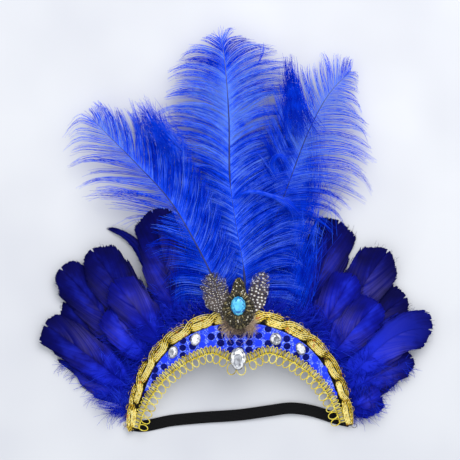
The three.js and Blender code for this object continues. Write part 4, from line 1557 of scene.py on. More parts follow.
class Vane:
    """Barbs of one blade feather, as flat strips that end on its outline."""

    hair_steps: int = 5
    hair_girth: Pair = (0.22, 0.08)
    fluff_girth: Pair = (0.26, 0.12)

    def __init__(self, row: BladeRow, style: VaneStyle, seed: int) -> None:
        """Takes the feather's line and the style of its barbs.

        Args:
            row: The feather.
            style: How its barbs lie.
            seed: Seed of its random draws.
        """
        self.line = FeatherLine(row)
        self.row = row
        self.style = style
        self.rng = default_rng(seed)

    def side(self, side: Side) -> tuple[Strands, Array]:
        """Lays the barbs of one side.

        Args:
            side: The side of the shaft.

        Returns:
            The barbs with their traits, and the barbs after which the vane is split.
        """
        style, line, rng, long = self.style, self.line, self.rng, self.row.length
        # Barbs end at even steps along the outline and start lower on the shaft.
        grid = np.linspace(style.bare, 1.0, 500)
        run = run_along(line.spine(grid) + line.across(grid) * (side.value * line.half(grid))[:, None])
        count = int(run[-1] / style.spacing)
        spots = (np.arange(count) + rng.uniform(0.25, 0.75, count)) / count * run[-1]
        ends = np.interp(spots, run, grid)
        half = line.half(ends) - 1.3 * smoothstep(ends, 0.94, 1.0)
        roots = np.clip(ends - style.sweep * half / long, style.bare * 0.55, 0.975)
        # Splits push the ends of the barbs beside them apart.
        shift = np.zeros(count)
        splits = np.sort(rng.uniform(0.3, 0.97, style.splits))
        for split in splits:
            gap = (ends - split) * long
            shift += np.sign(gap) * rng.uniform(0.3, 1.0) * style.split_width * np.exp(-np.abs(gap) / 7.0)
        shift += rng.normal(0.0, 1.0, count) * style.loose
        ends_to = np.clip(ends + shift / long, 0.0, 1.03)
        # Ragged barbs stop short of the outline.
        cut = 1.0 - style.ragged * rng.random(count) ** 2 * smoothstep(ends, 0.4, 0.95)
        cut -= 0.02 * rng.random(count)
        cut -= 0.04 * np.sin(ends * rng.uniform(18.0, 40.0) + rng.uniform(0.0, 6.0))
        q = np.linspace(0.0, 1.0, style.steps)[None, :]
        share = roots[:, None] + (ends_to - roots)[:, None] * q**1.35 * cut[:, None]
        out = half[:, None] * (1.0 - (1.0 - q) ** 1.25) * cut[:, None]
        points = line.vane(np.clip(share, 0.0, 1.0), side.value * out)
        beyond = np.maximum(0.0, share - 1.0) * long
        points[..., :2] += beyond[..., None] * compass(math.degrees(line.turn[-1]))
        phase, beat = rng.uniform(0.0, 6.28), rng.uniform(7.0, 13.0)
        points[..., 2] += style.wave * q**1.5 * np.sin(share * beat + phase)
        points[..., 2] += 0.3 * q * np.sin(share * 45.0 + phase)
        points += rng.normal(0.0, 0.25, (count, 1, 3)) * style.loose * q[..., None] ** 1.5
        points[..., 2] = np.maximum(points[..., 2], FLOOR)
        # Each barb has its own tint; painted satin highlights streak the vane and light the middle of each
        # barb, which is darker towards its end.
        bright = rng.normal(0.36, style.streak, (count, 1)) + self.row.shade
        bright = bright + 0.12 * np.sin(ends * 8.0 + phase)[:, None]
        bright = bright + 0.1 * np.sin(ends * 23.0 + beat)[:, None]
        bright = bright + 0.26 * np.exp(-(((q - 0.4) / 0.3) ** 2)) - 0.14 * q**3
        body = np.interp(q, [0.0, 0.25, 0.75, 1.0], [0.7, 1.0, 0.9, 0.35])
        traits = {
            "along": np.clip(share, 0.0, 1.0),
            "across": np.repeat(side.value * q, count, axis=0) * half[:, None] / (self.row.width / 2.0),
            "tint": bright,
            "gloss": self.gloss(share),
        }
        barbs = Strands(points, np.repeat(style.strip * body, count, axis=0), traits)
        return barbs, np.searchsorted(ends, splits)

    def gloss(self, share: Array) -> Array:
        """Gives the satin light on one side's barbs, uneven from barb to barb.

        Args:
            share: Shares of the shaft, barbs by points.

        Returns:
            The light at each point, 0 to 1.
        """
        rng = self.rng
        middle, strength = rng.uniform(0.48, 0.68), rng.choice([0.15, 0.5, 1.0])
        uneven = np.clip(rng.normal(0.55, 0.28, (len(share), 1)), 0.0, 1.0)
        return strength * uneven * np.exp(-(((share - middle) / 0.15) ** 2))

    def sheet(self, name: str, finish: Material) -> Piece:
        """Joins the barbs of both sides into thin cambered sheets, open at the splits.

        Args:
            name: The piece's name.
            finish: Its material.

        Returns:
            The vane.
        """
        points, faces, found = [], [], {"along": [], "across": [], "tint": [], "gloss": []}
        total = 0
        for side in Side:
            barbs, splits = self.side(side)
            for part in np.split(np.arange(len(barbs.points)), splits):
                if len(part) < 3:
                    continue
                over = barbs.points[part]
                made, rings = slab(over - np.array([0.0, 0.0, self.style.thickness]), over)
                points.append(made)
                faces.extend((rings + total).tolist())
                total += len(made)
                for key, values in found.items():
                    values.append(np.tile(barbs.traits[key][part].ravel(), 2))
        piece = smooth_piece(name, np.concatenate(points), faces, finish)
        for key, values in found.items():
            set_trait(piece, key, np.concatenate(values))
        return piece

    def fringe(self) -> Strands:
        """Lays the barbs of both sides as loose strips."""
        return Strands.joined([self.side(side)[0] for side in Side])

    def hairs(self, count: int) -> Strands:
        """Lays fine hairs that soften the vane's edge.

        Args:
            count: Hairs on each side.

        Returns:
            The hairs, five points each.
        """
        made = []
        q = np.linspace(-1.0, 1.0, self.hair_steps)[None, :, None]
        for side in Side:
            barbs, _ = self.side(side)
            pick = self.rng.choice(len(barbs.points), count)
            ends = barbs.points[pick, -1]
            way = ends - barbs.points[pick, -3]
            way = way / np.linalg.norm(way, axis=1, keepdims=True)
            drift = self.rng.normal(0.0, 0.35, (count, 3)) * np.array([1.0, 1.0, 0.3])
            reach = self.rng.uniform(1.0, 3.2, count)[:, None, None]
            points = ends[:, None] + way[:, None] * q * reach
            points = points + drift[:, None] * reach * np.maximum(0.0, q) ** 2
            points[..., 2] = np.maximum(points[..., 2] + 0.15, FLOOR)
            girth = np.repeat(np.interp(q[..., 0], [-1.0, 1.0], self.hair_girth), count, axis=0)
            ends = {key: barbs.traits[key][pick, -1:] for key in ("along", "tint")}
            traits = {key: np.repeat(values, self.hair_steps, axis=1) for key, values in ends.items()}
            made.append(Strands(points, girth, traits))
        return Strands.joined(made)

    def quill(self, steps: int, girth: Pair) -> Strands:
        """Lays the shaft as one strand.

        Args:
            steps: Points along it.
            girth: Radius at the root and at the tip.

        Returns:
            The shaft.
        """
        share = np.linspace(0.0, 0.97, steps)
        points = self.line.vane(share, np.zeros(steps))
        points[:, 2] -= 0.3
        radius = girth[0] + (girth[1] - girth[0]) * share
        traits = {"along": share[None], "tint": np.full((1, steps), 0.5)}
        return Strands(points[None], radius[None], traits)

    def fluff(self, count: int, span: Pair, reach: Pair) -> Strands:
        """Lays loose down beside the lower shaft.

        Args:
            count: Strands.
            span: Shares of the shaft that carry them.
            reach: Shortest and longest strand in millimetres.

        Returns:
            The strands, five points each.
        """
        rng, line = self.rng, self.line
        share = rng.uniform(*span, count)
        side = rng.choice([-1.0, 1.0], count)
        spread = rng.uniform(0.0, 1.0, count) ** 0.7
        start = line.vane(share, side * spread * line.half(share) * 0.8)
        turn = np.interp(share, line.grid, line.turn) + side * np.radians(rng.uniform(15.0, 85.0, count))
        length = rng.uniform(*reach, count)
        q = np.linspace(0.0, 1.0, self.hair_steps)[None, :]
        bend = (side * rng.normal(0.35, 0.55, count))[:, None]
        plan = trailed(start[:, :2], turn[:, None] + bend * q, length)
        z = start[:, 2:] + (rng.uniform(0.2, 2.6, count)[:, None] * np.sin(q * 2.4) - 1.2 * q**2)
        tint = rng.normal(0.5, 0.2, (count, 1))
        return Strands.tapered(raised(plan, np.maximum(z, 0.6)), q, self.fluff_girth, tint)


def goose_row(name: str, angle: float, *sizes: float, **look: float) -> BladeRow:
    """Gives a goose feather whose root is under the band's crown edge.

    Args:
        name: The feather's number and side.
        angle: Root's angle round the band, degrees.
        sizes: Length, heading, bend, width, middle height, tip height and roll.
        look: Shade, bluntness and point, where they aren't the row's own.

    Returns:
        The row.
    """
    root = compass(angle) * (BAND.crown_radius - 6.0)
    edge = BAND.crown_radius * math.sin(math.radians(angle))
    place = (float(root[0]), float(root[1]), float(BAND.rise(edge)) - 0.85)
    return BladeRow(f"goose_{name}", place, *sizes, **look)


@dataclass
class GooseFans:
    """Two fans of dyed goose feathers with fluff at their roots."""

    rows: tuple[BladeRow, ...] = (
        goose_row("left_1", -35, 154, -10, -6, 52, 15, 44, 4, shade=-0.08, blunt=3.4),
        goose_row("left_2", -40, 166, -11.5, -72, 22, 7, 1, 0, shade=0.1, point=0.75),
        goose_row("left_3", -48, 148, -31.5, -5, 54, 13, 14, 3, shade=-0.06),
        goose_row("left_4", -57, 157, -40, -6, 46, 9, 9, 0, shade=-0.06, blunt=4.0),
        goose_row("left_5", -65, 132, -43, -5, 42, 5, 1.2, 0, shade=-0.1),
        goose_row("left_6", -72, 136, -51, -8, 44, 10.6, 10, 0, shade=0.1, blunt=5.0),
        goose_row("left_7", -78, 106, -58, -6, 34, 3, 1.2, 0, shade=0.3, point=0.9),
        goose_row("left_8", -82, 56, -60, -4, 28, 12, 12, 0, shade=0.3),
        goose_row("left_9", -53, 84, -41, 6, 44, 16, 17, 0, shade=0.16),
        goose_row("left_10", -43, 102, -36, -8, 44, 22, 23, 0, shade=-0.1),
        goose_row("right_1", 35, 146, 15, 12, 54, 7, 1.2, 0, shade=-0.04, blunt=4.0),
        goose_row("right_2", 48, 147, 31, 8, 54, 12, 13, 0, blunt=3.4),
        goose_row("right_3", 58, 124, 41, 18, 52, 8, 7, 0, shade=-0.05),
        goose_row("right_4", 69, 134, 41, 66, 46, 15.2, 16, 0, shade=0.38, blunt=3.4),
        goose_row("right_5", 73, 94, 59, 6, 36, 10, 9, 0, shade=0.16),
        goose_row("right_6", 78, 69, 54, 4, 32, 3, 1.2, 0, shade=0.24),
        goose_row("right_7", 81, 46, 66, 2, 34, 13, 13, 0, shade=0.16),
        goose_row("right_8", 43, 100, 26, 8, 44, 16, 17, 0, shade=-0.06),
        goose_row("right_9", 53, 95, 38, 12, 44, 20, 21, 0, shade=0.04),
    )
    soft: tuple[str, ...] = ("goose_left_8",)
    frayed: tuple[str, ...] = ("goose_left_7", "goose_right_5", "goose_right_6", "goose_right_7")
    front: tuple[str, ...] = (
        "goose_left_9", "goose_left_10", "goose_right_7", "goose_right_8", "goose_right_9",
    )
    hair_count: int = 34
    quill: tuple[int, Pair] = (16, (0.4, 0.06))
    fluff: tuple[int, Pair, Pair] = (90, (0.08, 0.42), (8.0, 26.0))
    fraying: tuple[int, Pair, Pair] = (150, (0.2, 0.92), (6.0, 16.0))
    root_count: int = 3900
    root_span: float = 85.5
    root_radius: Pair = (123.0, 131.0)
    root_length: Pair = (8.0, 36.0)
    root_girth: Pair = (0.36, 0.14)

    def build(self) -> None:
        """Makes every vane, the quills, the edge hairs and the fluff."""
        light, glow = rgb(30, 46, 208), rgb(10, 28, 184)
        satin = (rgb(4, 6, 62), rgb(8, 15, 128), light, rgb(6, 5, 62), glow, 0.4, 0.9, 0.8)
        dye = FeatherFinish("goose_dye", 0.6, 0.0, 0.03, *satin, gloss_share=0.28).build()
        satin = (rgb(6, 9, 92), rgb(10, 18, 142), light, rgb(10, 14, 116), glow, 0.6, 0.5, 0.8)
        petal = FeatherFinish("goose_petal", 0.6, 0.0, 0.03, *satin, gloss_share=0.3).build()
        shades = (rgb(8, 14, 116), rgb(18, 32, 186), rgb(44, 70, 238), rgb(22, 40, 206))
        down = FeatherFinish("goose_fluff", 0.9, 0.0, 0.02, *shades).build()
        loose = VaneStyle(0.5, 1.9, 8, 0.08, 0, 0.0, 0.7, 0.2, 2.4, 0.16, loose=11.0)
        quills, fluffs, hairs = [], [], []
        for number, row in enumerate(self.rows):
            soft = row.node in self.soft
            vane = Vane(row, loose if soft else VaneStyle(), 100 + number)
            if soft:
                vane.fringe().swept(f"vane_{row.node}", down, "goose", row.node)
            else:
                piece = vane.sheet(f"vane_{row.node}", petal if row.node in self.front else dye)
                quills.append(vane.quill(*self.quill))
                hairs.append(vane.hairs(self.hair_count))
                adopt(piece, "goose", row.node)
            fluffs.append(vane.fluff(*self.fluff))
            if row.node in self.frayed:
                fluffs.append(vane.fluff(*self.fraying))
        Strands.joined(hairs).swept("goose_edges", dye, "goose")
        Strands.joined(quills).swept("goose_quills", dye, "goose", sides=5)
        Strands.joined(fluffs).swept("goose_fluff", down, "goose")
        self.root_fluff().swept("root_fluff", down, "goose")

    def root_fluff(self) -> Strands:
        """Lays soft down along the band, over the feathers' roots.

        Returns:
            The strands, five points each.
        """
        rng = default_rng(77)
        count = self.root_count
        angle = rng.uniform(-self.root_span, self.root_span, count)
        radius = rng.uniform(*self.root_radius, count) + BAND.stand(angle)
        start = compass(angle) * radius[:, None]
        turn = np.radians(angle + rng.normal(0.0, 32.0, count))
        fade = np.interp(np.abs(angle), [0.0, 60.0, 76.0, 85.0], [1.0, 1.0, 0.85, 0.45])
        length = rng.uniform(*self.root_length, count) * fade
        q = np.linspace(0.0, 1.0, 5)[None, :]
        plan = trailed(start, turn[:, None] + rng.normal(0.0, 0.6, (count, 1)) * q, length)
        z = BAND.rise(start[:, 0])[:, None] - 1.5 + rng.uniform(-1.0, 5.0, (count, 1)) * np.sin(q * 2.2)
        z = z - rng.uniform(0.0, 5.0, (count, 1)) * q
        ends = smoothstep(np.abs(angle), 62.0, 82.0)[:, None]
        tint = rng.normal(0.5, 0.2, (count, 1)) + 0.3 * ends
        made = Strands.tapered(raised(plan, np.maximum(z, FLOOR)), q, self.root_girth, tint)
        made.girth = made.girth * (1.0 - 0.5 * ends)
        return made


@dataclass
class Rosette:
    """Beaded medallion with its guinea feathers and brown down."""

    middle: Pair = (-1.5, 144.5)
    half: Pair = (19.0, 29.5)
    taper: float = 0.5
    base: float = 49.4
    thickness: float = 2.4
    stone: Pair = (-2.2, 141.5)
    stone_half: Pair = (8.6, 11.0)
    down_middle: Pair = (-1.5, 119.0)
    down_base: float = 45.4
    down_count: int = 900
    down_girth: Pair = (0.3, 0.12)
    dome: float = 1.2
    bugle_count: int = 34
    rim_count: int = 26
    seed_tries: int = 2600
    seed_gap: float = 1.75
    feathers: tuple[BladeRow, ...] = (
        BladeRow("guinea_left", (-19.0, 124.0, 47.8), 56, -15, -2, 31, 47.8, 45, 0.0, 0.0),
        BladeRow("guinea_right", (13.0, 124.0, 47.8), 57, 13, 2, 23, 47.8, 45, 0.0, 0.0),
    )

    def build(self) -> None:
        """Makes the plate, its beads, the guinea feathers and the down."""
        self.plate()
        self.bugles()
        self.seeds()
        self.guinea()
        self.down()

    @cached_property
    def bronze(self) -> Material:
        """Material of the plate and its beads."""
        return BeadFinish("bronze_bead", roughness=0.16, metallic=0.5, specular=0.8).build()

    def outline(self, angle: Array, inset: Array | float) -> Array:
        """Plan points of the teardrop about its middle.

        Args:
            angle: Angles from +Y in radians.
            inset: Distance inside the rim.

        Returns:
            One plan point for each angle.
        """
        cos = np.cos(angle)
        waist = self.taper * smoothstep(cos, -0.25, 0.5)
        x = np.sin(angle) * (self.half[0] * (1.0 - waist) - inset * (1.0 - 0.6 * waist))
        return np.stack([x, cos * (self.half[1] - inset)], axis=-1) + np.array(self.middle)

    def plate(self) -> None:
        """Makes the domed plate that carries the beads."""
        n = 72
        angle = np.arange(n) / n * math.tau
        levels = ((0.0, 0.0), (0.0, 0.75), (0.7, 1.0), (5.0, 1.15), (11.0, self.dome))
        rings = [raised(self.outline(angle, inset), self.base + up * self.thickness) for inset, up in levels]
        points = np.concatenate([*rings, [[*self.middle, self.top]]])
        faces = ring_faces(n, [0.0] * len(levels))
        last = (len(levels) - 1) * n
        faces.extend([last + (k + 1) % n, last + k, len(points) - 1] for k in range(n))
        piece = smooth_piece("medallion_plate", points, faces, self.bronze)
        set_trait(piece, "tint", np.full(len(points), 0.16))
        adopt(piece, "bronze", "medallion")

    @property
    def top(self) -> float:
        """Height of the plate's middle."""
        return self.base + self.thickness * self.dome

    def bugles(self) -> None:
        """Sets bugle beads like rays round the stone, and faceted beads round the rim."""
        rng = default_rng(21)
        rays, rim = Scatter(), Scatter()
        for k in range(self.bugle_count):
            angle = (k + 0.5) / self.bugle_count * math.tau
            way = np.array([math.sin(angle), math.cos(angle)])
            long = 2.6 if abs(math.cos(angle)) < 0.8 else 1.8
            spot = np.array(self.stone) + way * np.array(self.stone_half) + way * (long + 0.7)
            place = np.array([*spot, self.top + 0.7 + rng.uniform(0.0, 0.3)])
            turn = Matrix.Rotation(-angle, 3, "Z") @ Matrix.Rotation(math.pi / 2.0, 3, "X")
            # Some rays take the gilt tone, partly as painted highlights.
            rays.put(place, turn, (0.85, 0.85, long), rng.choice([0.15, 0.3, 0.5, 0.7, 0.78]))
        rays.strewn("bugle_beads", Bead.BUGLE, 7, self.bronze, "bronze")
        for k in range(self.rim_count):
            angle = (k + 0.5) / self.rim_count * math.tau
            spot = self.outline(np.array([angle]), 1.6)[0]
            size = rng.uniform(2.0, 2.4) if math.cos(angle) < 0.1 else rng.uniform(1.2, 1.6)
            place = np.array([*spot, self.base + self.thickness + size * 0.55])
            turn = Matrix.Rotation(-angle, 3, "Z")
            rim.put(place, turn, (size, size * 1.15, size), rng.uniform(0.1, 0.62))
        rim.strewn("rim_beads", Bead.SEED, 8, self.bronze, "bronze")

    def seeds(self) -> None:
        """Fills the plate with seed beads, cream ones in the upper lobe, partly as painted glints."""
        rng = default_rng(22)
        found = Scatter()
        spots: list[Array] = []
        for _ in range(self.seed_tries):
            angle, inset = rng.uniform(0.0, math.tau), rng.uniform(2.0, 18.0)
            spot = self.outline(np.array([angle]), inset)[0]
            apart = (spot - np.array(self.stone)) / np.array(self.stone_half)
            close = any(np.hypot(*(spot - other)) < self.seed_gap for other in spots)
            if np.hypot(*apart) < 1.1 or close:
                continue
            spots.append(spot)
            upper = spot[1] > self.middle[1] + 8.0
            # Cream beads, more of them in the upper lobe, partly stand for painted glints.
            tint = 0.97 if rng.random() < (0.3 if upper else 0.16) else rng.uniform(0.1, 0.8)
            size = rng.uniform(0.85, 1.1)
            found.put(np.array([*spot, self.top + 0.25]), Matrix.Identity(3), (size, size, size), tint)
        found.strewn("seed_beads", Bead.SEED, 7, self.bronze, "bronze")

    def guinea(self) -> None:
        """Makes the two spotted feathers."""
        spots = {"half": 15.0, "pitch": 3.0, "dot_size": 0.13}
        light = SpottedFinish("guinea_light", 0.7, 0.0, 0.2, **spots)
        spots = {"half": 12.0, "pitch": 4.4, "dot_size": 0.19}
        dark = SpottedFinish("guinea_dark", 0.7, 0.0, 0.2, rgb(52, 46, 48), rgb(100, 90, 88), **spots)
        style = VaneStyle(0.36, 0.8, 8, 0.04, 3, 1.2, 0.55, 0.3, 0.8, 0.25)
        for number, (row, finish) in enumerate(zip(self.feathers, (light, dark))):
            barbs = Vane(row, style, 60 + number).fringe()
            barbs.swept(f"vane_{row.node}", finish.build(), "guinea", row.node, depth=0.25)

    def down(self) -> None:
        """Makes the brown down that spreads under the medallion."""
        rng = default_rng(23)
        count = self.down_count
        turn = np.radians(rng.uniform(60.0, 300.0, count))
        low = np.cos(turn) < -0.5
        start = np.where(low, rng.uniform(3.0, 8.5, count), rng.uniform(3.0, 13.0, count))
        length = np.where(low, rng.uniform(2.0, 5.5, count), rng.uniform(6.0, 13.0, count))
        q = np.linspace(0.0, 1.0, 6)[None, :]
        way = turn[:, None] + rng.normal(0.0, 0.5, (count, 1)) * q
        far = start[:, None] + length[:, None] * q
        wave = rng.normal(0.0, 0.8, (count, 1)) * np.sin(q * 6.0 + rng.uniform(0.0, 6.0, (count, 1)))
        x = self.down_middle[0] + np.sin(way) * far * 1.05 + np.cos(way) * wave
        y = self.down_middle[1] + np.cos(way) * far * 0.95 - np.sin(way) * wave
        z = self.down_base + rng.uniform(0.0, 3.0, count)[:, None] * np.sin(q * 2.6) - q
        points = np.stack([x, y, np.maximum(z, BAND.rise(x) + BAND.facing_top + 1.2)], axis=-1)
        tint = np.where(low[:, None], rng.normal(0.2, 0.15, (count, 1)), rng.normal(0.58, 0.2, (count, 1)))
        shades = (rgb(66, 58, 60), rgb(176, 150, 126), rgb(244, 222, 190), rgb(150, 130, 120))
        soft = FeatherFinish("brown_down", 0.85, 0.0, 0.2, *shades, tip_from=0.5, tip_share=0.4, sheen=0.2)
        locks = Strands.tapered(points, q, self.down_girth, tint)
        locks.swept("guinea_fluff", soft.build(), "down", "guinea_down")


class Column(Enum):
    """Columns of a plume's vane rows: the barbs' reach on each side, their opening and their turn."""

    LEFT = 1
    RIGHT = 2
    OPENING = 3
    TURN = 4


@dataclass(frozen=True)
class Lift:
    """Part of a plume's side whose barbs rise in front of a neighbour."""

    side: Side
    start: float
    end: float
    height: float


@dataclass(frozen=True)
class Tuft:
    """Barbs that lie together along a line of their own."""

    line: tuple[Triple, ...]
    spread: Triple
    count: int
    tint: float


@dataclass(frozen=True)
class BarbStyle:
    """How the barbs of one side of a plume lie.

    The clumps gather barbs into wisps, turn and open are added to the vane rows' turn and opening,
    short is the share of short barbs, hook the millimetres by which their ends curl, and dense gives
    how close they stand at shares of the shaft.
    """

    count: int
    clumps: int
    gather: float
    droop: float
    turn: float
    short: float = 0.2
    hook: float = 2.5
    open: float = 0.0
    dense: tuple[Pair, ...] = ((0.0, 1.0), (1.0, 1.0))

    def spots(self, span: Pair, places: Array) -> Array:
        """Turns even places from 0 to 1 into shares of the shaft, closer where barbs stand dense.

        Args:
            span: First and last share of the shaft.
            places: Even places, 0 to 1.

        Returns:
            Shares of the shaft.
        """
        grid = np.linspace(*span, 400)
        weight = np.interp(grid, *np.array(self.dense).T)
        far = np.cumsum(weight) - weight / 2.0
        return np.interp(places * far[-1], far, grid)


@dataclass(frozen=True)
class PlumeRow:
    """One plume: root, shaft points, vane rows led by their share of the shaft, and each side's barbs."""

    node: str
    root: Pair
    shaft: tuple[Triple, ...]
    vane: tuple[tuple[float, ...], ...]
    barbs: tuple[BarbStyle, BarbStyle]
    seed: int
    lifts: tuple[Lift, ...] = ()
    tufts: tuple[Tuft, ...] = ()
    hidden: Pair = (0.02, 0.04)
    crown: int = 24
    pale: Pair = (0.45, 0.8)
    shade: float = 0.44
    dark_tip: float = 0.0


LEFT_PLUME = PlumeRow(
    "plume_left",
    (-12, 104),
    (
        (-19, 135, 33.4), (-29, 168, 39.5), (-49.5, 210.5, 40), (-80.5, 262, 34),
        (-115, 300, 27), (-149.5, 334.7, 22), (-168, 354, 20),
    ),
    (
        (0.16, 58, 40, 66, 40), (0.3, 66, 60, 58, 34), (0.41, 62, 66, 52, 34), (0.44, 66, 68, 52, 34),
        (0.48, 106, 74, 50, 34), (0.52, 112, 90, 50, 34), (0.62, 108, 96, 48, 34), (0.72, 92, 84, 46, 34),
        (0.85, 68, 60, 42, 32), (0.92, 52, 42, 40, 30), (0.99, 30, 20, 34, 28),
    ),
    (
        BarbStyle(470, 32, 0.97, 9, -20, 0.2, 11, -12, ((0.1, 1.2), (0.42, 1.2), (0.5, 0.8), (1, 0.4))),
        BarbStyle(2100, 90, 0.85, 2.5, -62, 0.2, 1, 0, ((0.1, 1.2), (0.55, 1.2), (0.74, 0.5), (1, 0.16))),
    ),
    301,
    tufts=(
        Tuft(((-66, 308, 36), (-80, 326, 36), (-97, 349, 33), (-118, 380, 28)), (24, 15, 18), 190, -0.18),
        Tuft(((-40, 165, 27), (-14, 235, 26), (-10, 300, 24), (-20, 360, 20)), (26, 52, 50), 420, -0.15),
    ),
    crown=12,
    pale=(0.62, 1),
    shade=0.41,
)

CENTRE_DENSE = ((0.1, 1.2), (0.55, 1.1), (0.75, 0.8), (0.9, 0.62), (1, 0.38))

CENTRE_PLUME = PlumeRow(
    "plume_centre",
    (3, 98),
    (
        (5, 140, 31), (4.6, 179, 30), (-4.6, 233, 30), (-11.5, 285, 29),
        (-12.7, 354, 25), (-17.5, 421, 20), (-21.5, 446, 18),
    ),
    (
        (0.12, 40, 64, 70, 40), (0.3, 60, 84, 50, 34), (0.44, 74, 92, 46, 44), (0.6, 90, 90, 46, 60),
        (0.75, 90, 92, 46, 66), (0.82, 82, 90, 45, 68), (0.88, 68, 78, 43, 68), (0.93, 52, 57, 39, 64),
        (0.97, 34, 35, 32, 56), (1, 18, 18, 18, 30),
    ),
    (
        BarbStyle(1850, 88, 0.92, 7, 0, 0.25, 2, 0, CENTRE_DENSE),
        BarbStyle(1850, 88, 0.92, 2.5, 0, 0.25, 2, 0, CENTRE_DENSE),
    ),
    302,
    tufts=(
        Tuft(
            ((-9, 262, 35), (8, 271, 40), (32, 268, 39), (58, 256, 35), (76, 233, 30)),
            (1.2, 2.6, 12), 130, 0.05,
        ),
        Tuft(
            ((40, 292, 38), (36, 303, 39), (44, 313, 40), (54, 306, 41), (50, 296, 40)),
            (2.4, 3, 4), 34, -0.1,
        ),
        Tuft(((19, 414, 27), (24, 426, 26), (27, 436, 25), (29, 447, 23)), (3, 2, 2), 10, -0.1),
        Tuft(((-34, 118, 22), (-46, 150, 20), (-56, 195, 18), (-66, 250, 16)), (22, 28, 34), 330, -0.3),
        Tuft(((38, 118, 20), (54, 150, 17), (66, 195, 16), (74, 250, 15)), (24, 30, 34), 360, -0.26),
    ),
    hidden=(0.22, 0.5),
    shade=0.5,
    dark_tip=0.7,
)

RIGHT_PLUME = PlumeRow(
    "plume_right",
    (17, 104),
    (
        (16.5, 140, 27), (20, 180, 23.5), (34, 224, 22), (55, 279.5, 20.5),
        (79.4, 342.7, 18.5), (103, 385, 16), (127, 410, 14),
    ),
    (
        (0.2, 40, 56, 66, 30), (0.36, 52, 62, 54, 34), (0.52, 66, 98, 52, 36), (0.68, 80, 100, 50, 36),
        (0.75, 70, 84, 48, 36), (0.82, 64, 62, 46, 36), (0.9, 46, 42, 44, 34), (0.97, 27, 20, 40, 30),
        (1, 12, 12, 32, 24),
    ),
    (
        BarbStyle(1160, 70, 0.93, 4, -44, 0.16, 0.5, 0, ((0.2, 1.3), (0.62, 1.2), (0.76, 0.6), (1, 0.5))),
        BarbStyle(880, 46, 0.94, 9, 24, 0.25, 5, 0, ((0.2, 1.6), (0.5, 1.3), (0.62, 0.9), (1, 0.55))),
    ),
    303,
    lifts=(Lift(Side.LEFT, 0.45, 0.82, 15),),
    tufts=(
        Tuft(((70, 330, 35), (64, 360, 36), (59, 392, 34), (54, 432, 30)), (24, 16, 7), 300, -0.36),
        Tuft(((14, 160, 18), (48, 225, 18), (60, 300, 17), (46, 396, 16)), (24, 46, 30), 620, -0.08),
    ),
    crown=8,
)


